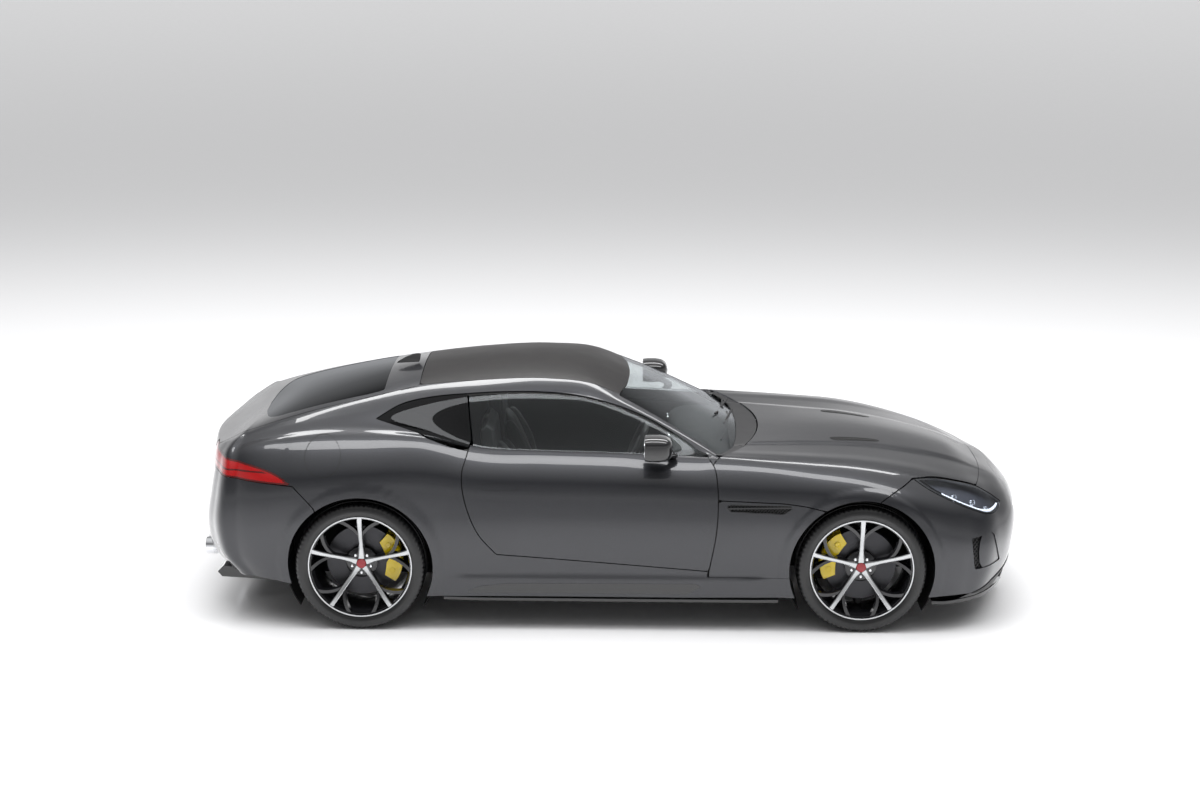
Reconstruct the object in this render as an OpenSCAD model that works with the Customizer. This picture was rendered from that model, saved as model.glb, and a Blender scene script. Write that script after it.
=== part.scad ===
// Two-seat fastback coupe: body panels, cabin, doors, lids, running gear and wheels.
// X points forward, Y to the left, Z up. The origin lies on the ground, midway between
// the ends and the sides of the car.

/* [Body] */
// Overall length over the bumpers
body_length = 4470; // [4000:10:5200]
// Overall width over the rear arches
body_width = 1923; // [1750:1:2150]
// Height of the roof above the ground
body_height = 1311; // [1180:1:1450]
// Distance between the axles
wheelbase = 2622; // [2400:2:2900]
// Gap between neighbouring panels
shut_gap = 6; // [5:0.5:9]
// Thickness of the outer panels
panel_t = 22; // [14:1:30]
// Thickness of a whole door
door_t = 80; // [50:1:110]
// Thickness of the window glass
glass_t = 6; // [4:0.5:8]

/* [Wheels] */
// Outer diameter of the tyres
tyre_d = 686; // [620:2:740]
// Diameter of the rims over their lips
rim_d = 545; // [480:1:580]
// Width of a front tyre
front_tyre_w = 255; // [205:5:275]
// Width of a rear tyre
rear_tyre_w = 285; // [225:5:305]
// Distance between the front tyres' middle planes
front_track = 1596; // [1450:2:1700]
// Distance between the rear tyres' middle planes
rear_track = 1612; // [1450:2:1720]
// Clearance between tyre and arch lip
arch_gap = 38; // [34:1:60]
// Diameter of the front brake discs
front_disc_d = 380; // [300:2:400]
// Diameter of the rear brake discs
rear_disc_d = 376; // [300:2:390]
// Thickness of the brake discs
disc_t = 32; // [20:1:36]

/* [Cabin] */
// Diameter of the steering wheel
steering_wheel_d = 366; // [330:2:400]
// Distance from the car's middle to each seat's middle
seat_y = 370; // [330:2:410]
// Width of a seat
seat_w = 480; // [440:2:520]

/* [Hidden] */

// The body lines are drawn on a car of this size and follow the driving sizes from there
drawn_length = 4470;
drawn_width = 1923;
drawn_height = 1311;
drawn_wheelbase = 2622;

wheel_r = tyre_d / 2;
axle_x = wheelbase / 2;
arch_r = wheel_r + arch_gap;
overhang_scale = (body_length - wheelbase) / (drawn_length - drawn_wheelbase);

// Places on the drawn car carried over to this one
function bx(x) =
    abs(x) <= drawn_wheelbase / 2 ? x * wheelbase / drawn_wheelbase
    : sign(x) * (axle_x + (abs(x) - drawn_wheelbase / 2) * overhang_scale);
function by(y) = y * body_width / drawn_width;
function bz(z) = z * body_height / drawn_height;
function bp(p) = [bx(p[0]), by(p[1]), bz(p[2])];
function side_points(points) = [for (p = points) [bx(p[0]), bz(p[1])]];
function plan_points(points) = [for (p = points) [bx(p[0]), by(p[1])]];

// Body lines, from the bottom of the side to the middle of the roof: sill, rocker, waist,
// flank, shoulder, belt, cant rail, roof rail and crown. A row holds its station along the
// car, then a [y, z] or an [x, y, z] for each line. The first and last rows lie on the
// car's middle plane, so every line runs round the tail and the nose.
REAR_LINES = [
    [-2235, [-2130, 0, 230], [-2215, 0, 330], [-2235, 0, 480], [-2215, 0, 640],
        [-2200, 0, 755], [-2200, 0, 830], [-2185, 0, 868], [-2150, 0, 892], [-2100, 0, 914]],
    [-2190, [-2090, 430, 230], [-2170, 450, 340], [-2192, 460, 490], [-2170, 455, 650],
        [-2150, 445, 765], [-2145, 435, 845], [-2128, 415, 885], [-2090, 375, 912],
        [-2030, 0, 944]],
    [-2110, [-1995, 700, 240], [-2075, 745, 360], [-2105, 758, 520], [-2088, 750, 680],
        [-2072, 715, 800], [-2058, 680, 888], [-2035, 635, 930], [-2000, 560, 958],
        [-1950, 0, 978]],
    [-1950, [-1880, 815, 250], [-1945, 850, 370], [-1960, 868, 550], [-1955, 850, 730],
        [-1950, 765, 912], [-1945, 700, 945], [-1935, 640, 974], [-1920, 560, 992],
        [-1870, 0, 1014]],
    [-1700, [890, 240], [915, 400], [938, 600], [910, 800], [778, 978], [700, 1008],
        [630, 1040], [530, 1064], [0, 1084]],
    [-1312, [930, 200], [952, 400], [962, 620], [928, 850], [800, 1005], [700, 1048],
        [600, 1112], [485, 1158], [0, 1192]],
    [-1000, [926, 186], [942, 380], [946, 620], [908, 858], [788, 1002], [716, 1022],
        [560, 1164], [440, 1216], [0, 1258]],
    [-700, [914, 186], [925, 345], [928, 620], [886, 830], [772, 946], [748, 952],
        [562, 1200], [455, 1248], [0, 1297]],
    [-350, [910, 186], [916, 340], [922, 620], [880, 820], [773, 930], [755, 936],
        [563, 1208], [462, 1262], [0, 1311]],
    [-100, [910, 186], [915, 340], [921, 620], [880, 815], [774, 924], [757, 930],
        [573, 1188], [485, 1236], [0, 1280]],
    [50, [910, 186], [915, 340], [921, 620], [880, 812], [774, 920], [757, 926],
        [596, 1142], [524, 1172], [0, 1222]],
    [250, [910, 186], [916, 340], [922, 620], [882, 808], [773, 912], [757, 917],
        [640, 1054], [592, 1074], [0, 1124]],
    [450, [910, 186], [918, 340], [925, 620], [885, 802], [776, 906], [755, 908],
        [697, 946], [662, 962], [0, 1020]],
    [580, [910, 188], [920, 340], [928, 620], [888, 800], [782, 902], [756, 900],
        [738, 876], [718, 886], [0, 954]],
    [800, [912, 190], [924, 350], [935, 620], [895, 790], [800, 800], [790, 780],
        [780, 760], [770, 770], [0, 842]],
    [1050, [922, 190], [934, 380], [943, 615], [906, 782], [800, 700], [790, 680],
        [780, 660], [770, 650], [0, 730]]
];
FRONT_LINES = [
    [350, [910, 186], [917, 340], [923, 620], [883, 804], [773, 908], [700, 912],
        [600, 912], [430, 906], [0, 908]],
    [580, [910, 188], [920, 340], [928, 620], [888, 800], [784, 902], [700, 910],
        [600, 908], [430, 903], [0, 906]],
    [800, [912, 190], [924, 350], [935, 620], [896, 790], [802, 886], [700, 902],
        [590, 901], [430, 900], [0, 904]],
    [1050, [922, 190], [934, 380], [943, 615], [906, 782], [812, 868], [698, 890],
        [580, 890], [420, 892], [0, 902]],
    [1311, [928, 190], [940, 380], [948, 600], [912, 762], [810, 846], [690, 870],
        [560, 873], [400, 878], [0, 892]],
    [1600, [915, 196], [930, 350], [934, 560], [892, 710], [776, 792], [655, 818],
        [530, 826], [380, 834], [0, 852]],
    [1850, [1845, 860, 200], [1868, 868, 330], [1876, 868, 500], [1870, 820, 630],
        [1855, 708, 722], [1850, 606, 748], [1850, 490, 762], [1850, 350, 774],
        [1850, 0, 792]],
    [2020, [1995, 730, 185], [2030, 748, 300], [2050, 752, 470], [2044, 700, 585],
        [2015, 605, 660], [2000, 510, 696], [1985, 400, 716], [1975, 280, 732],
        [1957, 0, 748]],
    [2140, [2095, 440, 172], [2150, 465, 280], [2180, 472, 450], [2178, 445, 550],
        [2152, 385, 620], [2125, 325, 656], [2100, 260, 682], [2060, 180, 704],
        [2000, 0, 728]],
    [2235, [2140, 0, 168], [2202, 0, 270], [2235, 0, 440], [2232, 0, 530], [2205, 0, 594],
        [2165, 0, 638], [2122, 0, 670], [2074, 0, 698], [2016, 0, 721]]
];
TAIL = -2235;                     // first and last stations
NOSE = 2235;
spine = [bx(-1500), bx(1550)];
spine_z = bz(600);
CROWN = 8;                        // index of the crown among the lines
FULL = 2 * CROWN;                 // index of the other side's sill

function flip(p) = [p[0], -p[1], p[2]];
function row_points(row) =
    [for (i = [1 : CROWN + 1]) bp(len(row[i]) == 3 ? row[i] : [row[0], row[i][0], row[i][1]])];

// Tangent at knot i of the points p over the knots t
function slope(p, t, i) =
    let (a = t[i] - t[i - 1], b = t[i + 1] - t[i])
    ((p[i] - p[i - 1]) * b / a + (p[i + 1] - p[i]) * a / b) / (a + b);

// Smooth curve through the points p over the knots t, at u between knots i and i + 1
function curve(p, t, i, u) =
    let (h = t[i + 1] - t[i], q = (u - t[i]) / h)
    p[i] * (1 + 2 * q) * (1 - q) * (1 - q) + p[i + 1] * q * q * (3 - 2 * q)
    + slope(p, t, i) * h * q * (1 - q) * (1 - q) - slope(p, t, i + 1) * h * q * q * (1 - q);

function knot(t, u, i = 1) = u < t[i + 1] || i >= len(t) - 3 ? i : knot(t, u, i + 1);

// Rows with one more at each end: a mirrored one past the nose or tail, or a straight one
function padded(rows) =
    let (n = len(rows), p = [for (r = rows) row_points(r)],
         closed_a = abs(p[0][0][1]) < 1, closed_b = abs(p[n - 1][0][1]) < 1)
    concat(
        [closed_a ? [for (q = p[1]) flip(q)] : 2 * p[0] - p[1]],
        p,
        [closed_b ? [for (q = p[n - 2]) flip(q)] : 2 * p[n - 1] - p[n - 2]]);
function padded_knots(rows) =
    let (n = len(rows), t = [for (r = rows) bx(r[0])])
    concat([2 * t[0] - t[1]], t, [2 * t[n - 1] - t[n - 2]]);

// The nine points of the half section at station u
function half_section(p, t, u) =
    let (i = knot(t, u))
    [for (j = [0 : CROWN]) curve([for (r = p) r[j]], t, i, u)];

function chord_knots(p, i = 1, t = [0]) =
    i == len(p) ? t
    : chord_knots(p, i + 1, concat(t, [t[i - 1] + sqrt(max(norm(p[i] - p[i - 1]), 1))]));

// Points of a section at the line positions vs, 0 at the left sill to 16 at the right one
function section_points(half, vs) =
    let (p = concat([2 * half[0] - half[1]], half, [flip(half[CROWN - 1])]),
         t = chord_knots(p))
    [for (v = vs)
        let (w = v > CROWN ? FULL - v : v, i = min(floor(w), CROWN - 1) + 1,
             q = curve(p, t, i, t[i] + (w - i + 1) * (t[i + 1] - t[i])))
        v > CROWN ? flip(q) : q];

function steps(a, b, n) = [for (i = [0 : n]) a + (b - a) * i / n];

// Grid of the outer surface over the stations us and the line positions vs
function surface_grid(rows, us, vs) =
    let (p = padded(rows), t = padded_knots(rows))
    [for (u = us) section_points(half_section(p, t, bx(u)), vs)];

function unit(v) = v / max(norm(v), 0.001);

// Grid moved inwards by d, towards a spine along the middle of the car
function spine_point(p) = [max(spine[0], min(spine[1], p[0])), 0, spine_z];
function sunk_grid(g, d) = [for (r = g) [for (p = r) p + unit(spine_point(p) - p) * d]];

// Closed solid between two grids of the same size. Where a grid's first or last station lies
// on the car's middle plane, its left and right halves share their points there.
module between(outer, inner, first_shared = false, last_shared = false) {
    n = len(outer);
    m = len(outer[0]);
    k = n * m;
    function shared(i) = (i == 0 && first_shared) || (i == n - 1 && last_shared);
    function at(i, j) = i * m + (shared(i) && 2 * j > m - 1 ? m - 1 - j : j);
    // Quads are split the opposite way on the right, so both sides match
    function quad(a, b, c, d, i = 0, j = 0) =
        i >= 0 && outer[i][j][1] + outer[i][j + 1][1] < -0.01
        ? [[a, d, b], [b, d, c]] : [[a, c, b], [a, d, c]];
    function wall(a, b) = quad(a, k + a, k + b, b, -1);
    function is_face(f) = f[0] != f[1] && f[1] != f[2] && f[2] != f[0];
    faces = concat(
        [for (i = [0 : n - 2], j = [0 : m - 2])
            each quad(at(i, j), at(i, j + 1), at(i + 1, j + 1), at(i + 1, j), i, j)],
        [for (i = [0 : n - 2], j = [0 : m - 2])
            let (f = quad(k + at(i, j), k + at(i, j + 1), k + at(i + 1, j + 1), k + at(i + 1, j), i, j))
            each [for (t = f) [t[0], t[2], t[1]]]],
        [for (i = [0 : n - 2]) each wall(at(i + 1, 0), at(i, 0))],
        [for (i = [0 : n - 2]) each wall(at(i, m - 1), at(i + 1, m - 1))],
        first_shared ? [] : [for (j = [0 : m - 2]) each wall(at(0, j), at(0, j + 1))],
        last_shared ? [] : [for (j = [0 : m - 2]) each wall(at(n - 1, j + 1), at(n - 1, j))]);
    points = [for (g = [outer, inner]) each [for (r = g) each r]];
    polyhedron(points, [for (f = faces) if (is_face(f)) f]);
}

// Shell of the body between two depths under its surface
module shell(rows, us, vs, depth_out, depth_in) {
    g = surface_grid(rows, us, vs);
    between(sunk_grid(g, depth_out), sunk_grid(g, depth_in),
        us[0] == TAIL, us[len(us) - 1] == NOSE);
}

// A prism across the car from a side outline, one up through it from a plan outline,
// and one along it from a front outline. A margin grows or shrinks the outline.
across = 2600;
module side_prism(points, margin = 0) {
    rotate([90, 0, 0]) linear_extrude(across, center = true)
        offset(delta = margin) polygon(side_points(points));
}
module plan_prism(points, margin = 0) {
    linear_extrude(across, center = true) offset(delta = margin) polygon(plan_points(points));
}
// Room round a wheel, open to the outside of the car
module arch_bore(x) {
    translate([x, 0, wheel_r]) rotate([90, 0, 0])
        cylinder(r = arch_r, h = across, center = true, $fn = 72);
}

// Side outlines, [x, z], and plan outlines of one half, [x, y], on the drawn car
DOOR_FRONT = [
    [496, 1000], [500, 912], [536, 868], [550, 800], [555, 667], [545, 520], [512, 330]
];
DOOR_REAR = [
    [-600, 415], [-690, 520], [-745, 640], [-775, 760], [-778, 850], [-760, 910], [-730, 1000]
];
DOOR = concat(DOOR_FRONT, DOOR_REAR);
// The door's opening in the body, which reaches up into the window's
DOOR_OPENING = concat(
    [for (i = [1 : len(DOOR_FRONT) - 1]) DOOR_FRONT[i]],
    [for (i = [0 : len(DOOR_REAR) - 2]) DOOR_REAR[i]],
    [[-745, 960], [357, 960], [470, 922]]);
WINDOW = [
    [526, 884], [385, 976], [200, 1076], [40, 1138], [-172, 1188], [-384, 1204], [-596, 1202],
    [-773, 1190], [-964, 1168], [-1123, 1134], [-1250, 1072], [-1010, 1012], [-768, 940],
    [-482, 926], [-62, 920], [357, 902]
];
// What lies ahead of the door and the windscreen pillar, above the sill
AHEAD_OF_DOOR = [
    [505, 300], [1300, 300], [1300, 1400], [800, 1400], [596, 900], [575, 880], [470, 870],
    [530, 800]
];
WING_LINE = [[556, 714], [900, 704], [1000, 692], [1100, 672]];
BONNET = concat(
    [[480, 1200], [496, 1000], [500, 912], [536, 868], [550, 800]], WING_LINE,
    [[1311, 640], [1425, 736], [1573, 803], [1700, 786], [1926, 718], [2010, 672], [2075, 626],
    [2110, 560], [2300, 560], [2300, 1200]]);
HEADLIGHT = [
    [1583, 800], [1700, 786], [1926, 718], [2010, 672], [2062, 626], [2040, 604], [1975, 610],
    [1750, 708], [1640, 764]
];
TAIL_LIGHT = [
    [-1655, 778], [-1745, 826], [-1860, 858], [-2075, 884], [-2300, 890], [-2300, 796],
    [-2050, 794], [-1900, 785], [-1795, 781]
];
BUMPER_TOP = [[-1540, 660], [-1655, 774], [-1795, 780], [-1900, 785], [-2050, 794], [-2400, 794]];
HATCH = [
    [-1034, 0], [-1034, 432], [-1312, 490], [-1700, 545], [-1920, 572], [-2050, 556],
    [-2110, 500], [-2140, 430], [-2160, 400], [-2300, 400], [-2300, 0]
];
HATCH_GLASS = [
    [-1225, 0], [-1222, 425], [-1312, 448], [-1700, 476], [-1810, 480], [-1850, 440],
    [-1890, 250], [-1900, 0]
];
ROOF = [
    [95, 0], [78, 260], [36, 480], [-100, 468], [-350, 448], [-700, 440], [-1000, 424],
    [-1034, 418], [-1034, 0]
];
WINDSHIELD = [
    [680, 0], [668, 300], [636, 540], [575, 688], [450, 640], [250, 572], [36, 496],
    [78, 260], [95, 0]
];
function both_sides(half) =
    concat(half, [for (i = [len(half) - 1 : -1 : 0]) [half[i][0], -half[i][1]]]);

// Arcs of the bonnet's rear and front edges in plan: the point on the car's middle, and the radius
bonnet_rear_x = 801;
bonnet_rear_r = 1367;
bonnet_front_x = 2014;
bonnet_front_r = 2250;
module plan_disc(x, r, margin) {
    translate([bx(x - r), 0, 0]) scale([1, body_width / drawn_width, 1])
        cylinder(r = bx(x) - bx(x - r) + margin, h = across, center = true, $fn = 180);
}

half_gap = shut_gap / 2;
touch = 0.1;                      // between pieces that are seated on each other
seat_gap = 0.3;                   // between a closed door or lid and its seat
door_inset = 30;
body_t = 55;                      // thickness of the body's pillars and rails
flange_w = 24;

// Stations and lines of the panels whose inner faces carry other pieces
DOOR_US = steps(-800, 570, 15);
DOOR_VS = steps(0.5, 5, 12);
LINING_US = steps(-800, 570, 8);
LINING_VS = steps(0.5, 4.85, 7);
ROOF_US = steps(-1060, 110, 12);
ROOF_VS = steps(6.6, FULL - 6.6, 12);
GLASS_US = steps(20, 700, 9);
GLASS_VS = steps(6.4, FULL - 6.4, 14);
HATCH_US = steps(TAIL, -1010, 18);
HATCH_VS = steps(3, FULL - 3, 26);
BONNET_US = concat(steps(500, 2000, 15), [2080, 2160, NOSE]);
BONNET_VS = steps(2.1, FULL - 2.1, 26);
NOSE_US = concat(steps(1440, 1900, 5), steps(1960, NOSE, 8));
NOSE_VS = steps(0, FULL, 28);
TAIL_US = concat(steps(TAIL, -1960, 8), steps(-1900, -1540, 4));
TAIL_VS = steps(0, FULL, 26);

// ---- Body shell ----
// Ring along an opening's edge, as wide as the flange that carries a panel
module rim(points) {
    difference() {
        plan_prism(both_sides(points), half_gap + 1);
        plan_prism(both_sides(points), -flange_w);
    }
}
module outer_side() {
    shell(REAR_LINES, steps(-2200, 980, 30), steps(0, 7.4, 14), 0, body_t);
}
module body_side() {
    difference() {
        outer_side();
        side_prism(DOOR_OPENING, half_gap);
        side_prism(WINDOW);
        side_prism(AHEAD_OF_DOOR, half_gap);
        bonnet_room(half_gap);
        side_prism(concat(BUMPER_TOP, [[-2400, 0], [-1540, 0]]), half_gap);
        plan_prism(both_sides(HATCH), half_gap + 2);
        plan_prism(both_sides(ROOF), half_gap);
        plan_prism(both_sides(WINDSHIELD), half_gap);
        tail_light_room(-touch);
        arch_bore(-axle_x);
        arch_bore(axle_x);
    }
    // Flanges under the edges of the roof and the windscreen
    difference() {
        intersection() {
            outer_side();
            union() {
                rim(ROOF);
                rim(WINDSHIELD);
            }
        }
        shell(REAR_LINES, ROOF_US, ROOF_VS, -20, panel_t + touch);
        shell(REAR_LINES, GLASS_US, GLASS_VS, -20, 2 + glass_t + touch);
        plan_prism(both_sides(HATCH), half_gap);
        side_prism(WINDOW);
        side_prism(AHEAD_OF_DOOR, half_gap);
        bonnet_room(half_gap);
        side_prism(DOOR_OPENING, half_gap);
    }
    // Door pillar: behind the windows' seam, and down behind the door's rear edge
    difference() {
        intersection() {
            shell(REAR_LINES, steps(-830, -680, 3), steps(4.9, 6.15, 5), 22, body_t);
            side_prism([[-690, 930], [-752, 1230], [-812, 1230], [-764, 930]]);
        }
        side_prism(DOOR, shut_gap);
    }
    intersection() {
        shell(REAR_LINES, [LINING_US[0], LINING_US[1]], LINING_VS, door_t + seat_gap, door_t + 20);
        side_prism([[-820, 330], [-640, 330], [-660, 900], [-820, 900]]);
    }
    difference() {
        shell(REAR_LINES, steps(-860, -620, 3), LINING_VS, body_t - 5, door_t + 20);
        side_prism(DOOR, shut_gap);
        side_prism(WINDOW);
    }
}
module body_sides() {
    color("dimgray") for (side = [1, -1])
        resize([0, 0, 0]) mirrored(side) body_side();
}
module mirrored(side) {
    if (side > 0) children();
    else mirror([0, 1, 0]) children();
}
module tail_light_room(margin) {
    intersection() {
        side_prism(TAIL_LIGHT, margin);
        translate([bx(-2300), by(400) - margin, 0]) cube([bx(-1600) - bx(-2300), 1000, 1500]);
    }
}

module roof_panel() {
    color("black") resize([0, 0, 0]) intersection() {
        shell(REAR_LINES, ROOF_US, ROOF_VS, 0, panel_t);
        plan_prism(both_sides(ROOF), -half_gap);
    }
}
module windshield() {
    color("darkslategray") resize([0, 0, 0]) intersection() {
        shell(REAR_LINES, GLASS_US, GLASS_VS, 2, 2 + glass_t);
        plan_prism(both_sides(WINDSHIELD), -half_gap);
    }
}
module quarter_windows() {
    color("darkslategray") for (side = [1, -1]) resize([0, 0, 0]) mirrored(side)
        intersection() {
            shell(REAR_LINES, steps(-1290, -700, 6), steps(4.9, 6.15, 5), 8, 8 + glass_t);
            side_prism(WINDOW, -0.3);
            side_prism([[-724, 900], [-786, 1300], [-1400, 1300], [-1400, 900]], -half_gap);
            clear_of_door();
        }
}
module clear_of_door() {
    difference() {
        translate([-3000, -across / 2, 0]) cube([6000, across, 2000]);
        side_prism(DOOR, shut_gap);
    }
}
module rear_glass() {
    color("darkslategray") resize([0, 0, 0]) intersection() {
        shell(REAR_LINES, steps(-1920, -1200, 9), steps(6.4, FULL - 6.4, 12), 4, 4 + glass_t);
        plan_prism(both_sides(HATCH_GLASS), -0.3);
    }
}
hatch_t = 32;
module hatch() {
    color("dimgray") resize([0, 0, 0]) difference() {
        intersection() {
            shell(REAR_LINES, HATCH_US, HATCH_VS, 0, hatch_t);
            plan_prism(both_sides(HATCH), -half_gap);
            translate([bx(-2400), -across / 2, bz(796) + half_gap])
                cube([bx(-900) - bx(-2400), across, 800]);
        }
        plan_prism(both_sides(HATCH_GLASS));
        for (side = [1, -1]) mirrored(side) tail_light_room(shut_gap);
    }
}

// ---- Front of the body ----
module bonnet_room(margin) {
    difference() {
        intersection() {
            side_prism(BONNET, margin);
            plan_disc(bonnet_front_x, bonnet_front_r, margin);
        }
        plan_disc(bonnet_rear_x, bonnet_rear_r, -margin);
    }
}
module bonnet() {
    color("dimgray") resize([0, 0, 0]) difference() {
        intersection() {
            shell(FRONT_LINES, BONNET_US, BONNET_VS, 0, panel_t);
            bonnet_room(-half_gap);
        }
        arch_bore(axle_x);
    }
}
module front_bumper() {
    color("dimgray") resize([0, 0, 0]) difference() {
        shell(FRONT_LINES, NOSE_US, NOSE_VS, 0, panel_t);
        bonnet_room(half_gap);
        side_prism(HEADLIGHT, touch - half_gap);
        arch_bore(axle_x);
        grille_mouth(0);
        side_intakes(0);
    }
}
module grille_mouth(margin) {
    translate([bx(1900), 0, 0]) rotate([90, 0, 90]) linear_extrude(500)
        offset(r = 50, $fn = 32) offset(delta = margin - 50)
            polygon([for (p = [[-430, 580], [-370, 270], [370, 270], [430, 580]]) [by(p[0]), bz(p[1])]]);
}
module side_intakes(margin) {
    intersection() {
        side_prism([[1885, 505], [2010, 522], [2062, 345], [1908, 332]], margin);
        for (side = [1, -1]) mirrored(side) translate([0, by(575), 0]) cube([3000, 1000, 1000]);
    }
}
module front_fenders() {
    color("dimgray") for (side = [1, -1]) resize([0, 0, 0]) mirrored(side)
        difference() {
            intersection() {
                shell(FRONT_LINES, steps(500, 1120, 8), steps(0.4, 3.2, 8), 0, panel_t);
                side_prism(concat([[508, 270], [1200, 270], [1200, 600]],
                    [for (i = [3 : -1 : 0]) WING_LINE[i]],
                    [[555, 667], [545, 520], [512, 330]]), -half_gap);
                translate([0, 0, bz(300) - half_gap + touch]) cube([3000, 1500, 1500]);
            }
            arch_bore(axle_x);
            side_vent_room();
        }
}
module side_vent_room() {
    side_prism([[590, 696], [620, 656], [900, 648], [950, 684], [930, 694]]);
}
module clear_of_bonnet() {
    difference() {
        translate([0, -across / 2, 0]) cube([3000, across, 2000]);
        bonnet_room(half_gap);
    }
}
module headlights() {
    color("lightsteelblue") for (side = [1, -1]) resize([0, 0, 0]) mirrored(side) intersection() {
        shell(FRONT_LINES, steps(1560, 2120, 9), steps(2, 5.6, 12), 1, 40);
        side_prism(HEADLIGHT, -half_gap);
        clear_of_bonnet();
        translate([0, by(420), 0]) cube([3000, 1000, 1000]);
    }
}
module grilles() {
    color("black") {
        resize([0, 0, 0]) intersection() {
            shell(FRONT_LINES, NOSE_US, NOSE_VS, panel_t - 8, panel_t);
            grille_mouth(-0.3);
        }
        for (side = [1, -1]) resize([0, 0, 0]) mirrored(side) intersection() {
            shell(FRONT_LINES, steps(1860, 2120, 4), steps(0.5, 2.5, 5), panel_t - 8, panel_t);
            side_intakes(-0.3);
        }
        for (side = [1, -1]) resize([0, 0, 0]) mirrored(side) intersection() {
            shell(FRONT_LINES, steps(570, 970, 4), steps(1.8, 3, 4), panel_t - 10, panel_t);
            side_prism([[590, 696], [620, 656], [900, 648], [950, 684], [930, 694]], -0.3);
        }
    }
}

// ---- Rear of the body ----
module rear_bumper() {
    color("dimgray") resize([0, 0, 0]) difference() {
        intersection() {
            shell(REAR_LINES, TAIL_US, TAIL_VS, 0, panel_t);
            side_prism(concat(BUMPER_TOP, [[-2400, 100], [-1540, 100]]), -half_gap);
        }
        arch_bore(-axle_x);
        for (y = TAIL_PIPES) translate([bx(-2400), y, tail_pipe_z]) rotate([0, 90, 0])
            cylinder(d = tail_pipe_d + 16, h = 500, $fn = 40);
        translate([bx(-2400), -1000, 0]) cube([500, 2000, bz(232) + touch]);
    }
}
module tail_lights() {
    color("red") for (side = [1, -1]) resize([0, 0, 0]) mirrored(side) intersection() {
        shell(REAR_LINES, concat(steps(-2225, -1960, 6), steps(-1900, -1640, 3)),
            steps(2.4, 6, 8), 1, 36);
        tail_light_room(-2 * touch);
    }
}

// ---- Doors ----
module door(side) {
    color("dimgray") resize([0, 0, 0]) mirrored(side) {
        intersection() {
            shell(REAR_LINES, DOOR_US, DOOR_VS, 0, panel_t);
            side_prism(DOOR, -half_gap);
        }
        intersection() {
            shell(REAR_LINES, LINING_US, LINING_VS, panel_t - 12, door_t);
            side_prism(DOOR, -half_gap - door_inset);
        }
    }
}
module door_glass(side) {
    color("darkslategray") resize([0, 0, 0]) mirrored(side) intersection() {
        shell(REAR_LINES, DOOR_US, steps(5.004, 6.2, 5), 8, 8 + glass_t);
        side_prism(WINDOW, -shut_gap);
        side_prism([[-724, 880], [-786, 1300], [700, 1300], [700, 880]], -half_gap - 4);
    }
}
mirror_x = 262;
mirror_y = 905;
mirror_z = 985;
module mirror_unit(side) {
    color("black") mirrored(side) {
        translate([bx(mirror_x), by(mirror_y), bz(mirror_z)]) rotate([0, 90, 0])
            scale([0.62, 1, 1]) cylinder(r1 = 92, r2 = 60, h = 110, center = true, $fn = 48);
        // Stalk down to the door's shoulder
        difference() {
            translate([bx(mirror_x) + 14, by(mirror_y) - 130, bz(mirror_z) - 110])
                cube([36, 90, 76]);
            shell(REAR_LINES, DOOR_US, DOOR_VS, -touch, 250);
            translate([bx(mirror_x), by(mirror_y) - 160, bz(mirror_z) - 130])
                cube([80, 160, 25]);
        }
    }
}

// Splitter under the nose, diffuser under the tail and the dark strips along the sills
module lower_trim() {
    color("black") {
        translate([0, 0, bz(138)]) linear_extrude(20) polygon(plan_points(both_sides([
            [2188, 0], [2160, 300], [2070, 560], [1940, 745], [1760, 850], [1690, 850], [1690, 0]
        ])));
        for (side = [1, -1]) mirrored(side) translate([bx(1700), rail_y, bz(138) + 19])
            cube([100, rail_w, front_rail_z - bz(138) - 19 - touch]);
        rotate([90, 0, 0]) linear_extrude(2 * by(600), center = true) polygon(side_points([
            [-2125, 200], [-2100, 170], [-1730, 150], [-1730, 170], [-1850, 200], [-2085, 232]
        ]));
        for (y = [-450, -150, 150, 450]) translate([bx(-2110), by(y) - 5, bz(130)])
            cube([bx(-1760) - bx(-2110), 10, bz(30)]);
        for (side = [1, -1]) mirrored(side)
            translate([bx(-900), by(770), floor_z - 40])
                cube([bx(895) - bx(-900), by(120), 20 - touch]);
    }
}

// ---- Underbody ----
floor_z = 190;
tunnel_h = 200;
rail_y = 330;                     // chassis rails, their inner faces and width
rail_w = 60;
front_rail_z = 250;
rear_rail_z = 440;
rail_h = 90;
luggage_z = 545;
liner_r = arch_r + 18;
liner_t = 6;
liner_in = by(560);
liner_out = by(866);
module liner(x, side) {
    mirrored(side) translate([x, liner_in, wheel_r]) rotate([-90, 0, 0]) {
        difference() {
            cylinder(r = liner_r + liner_t, h = liner_out - liner_in, $fn = 96);
            translate([0, 0, -1]) cylinder(r = liner_r, h = liner_out - liner_in + 2, $fn = 96);
            translate([-1000, 60, -1]) cube([2000, 1000, 1000]);
        }
    }
}
// Box beam along each sill, against the inner face of the body side
module sill_beam() {
    difference() {
        translate([bx(-600), by(740), floor_z - 20])
            cube([bx(880) - bx(-600), by(130), bz(318) - floor_z + 20]);
        shell(REAR_LINES, steps(-2200, 980, 30), steps(0, 7.4, 14), -30, body_t + touch);
        side_prism(DOOR, shut_gap);
    }
}
// Brackets out to the bumpers' inner faces
module bumper_brackets() {
    difference() {
        for (side = [1, -1]) mirrored(side) {
            translate([bx(2030), rail_y, front_rail_z + 20]) cube([260, rail_w, 60]);
            translate([bx(-2035) - 260, rail_y, rear_rail_z]) cube([280, rail_w, 60]);
        }
        shell(FRONT_LINES, NOSE_US, NOSE_VS, -200, panel_t + touch);
        shell(REAR_LINES, TAIL_US, TAIL_VS, -200, panel_t + touch);
    }
}
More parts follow.
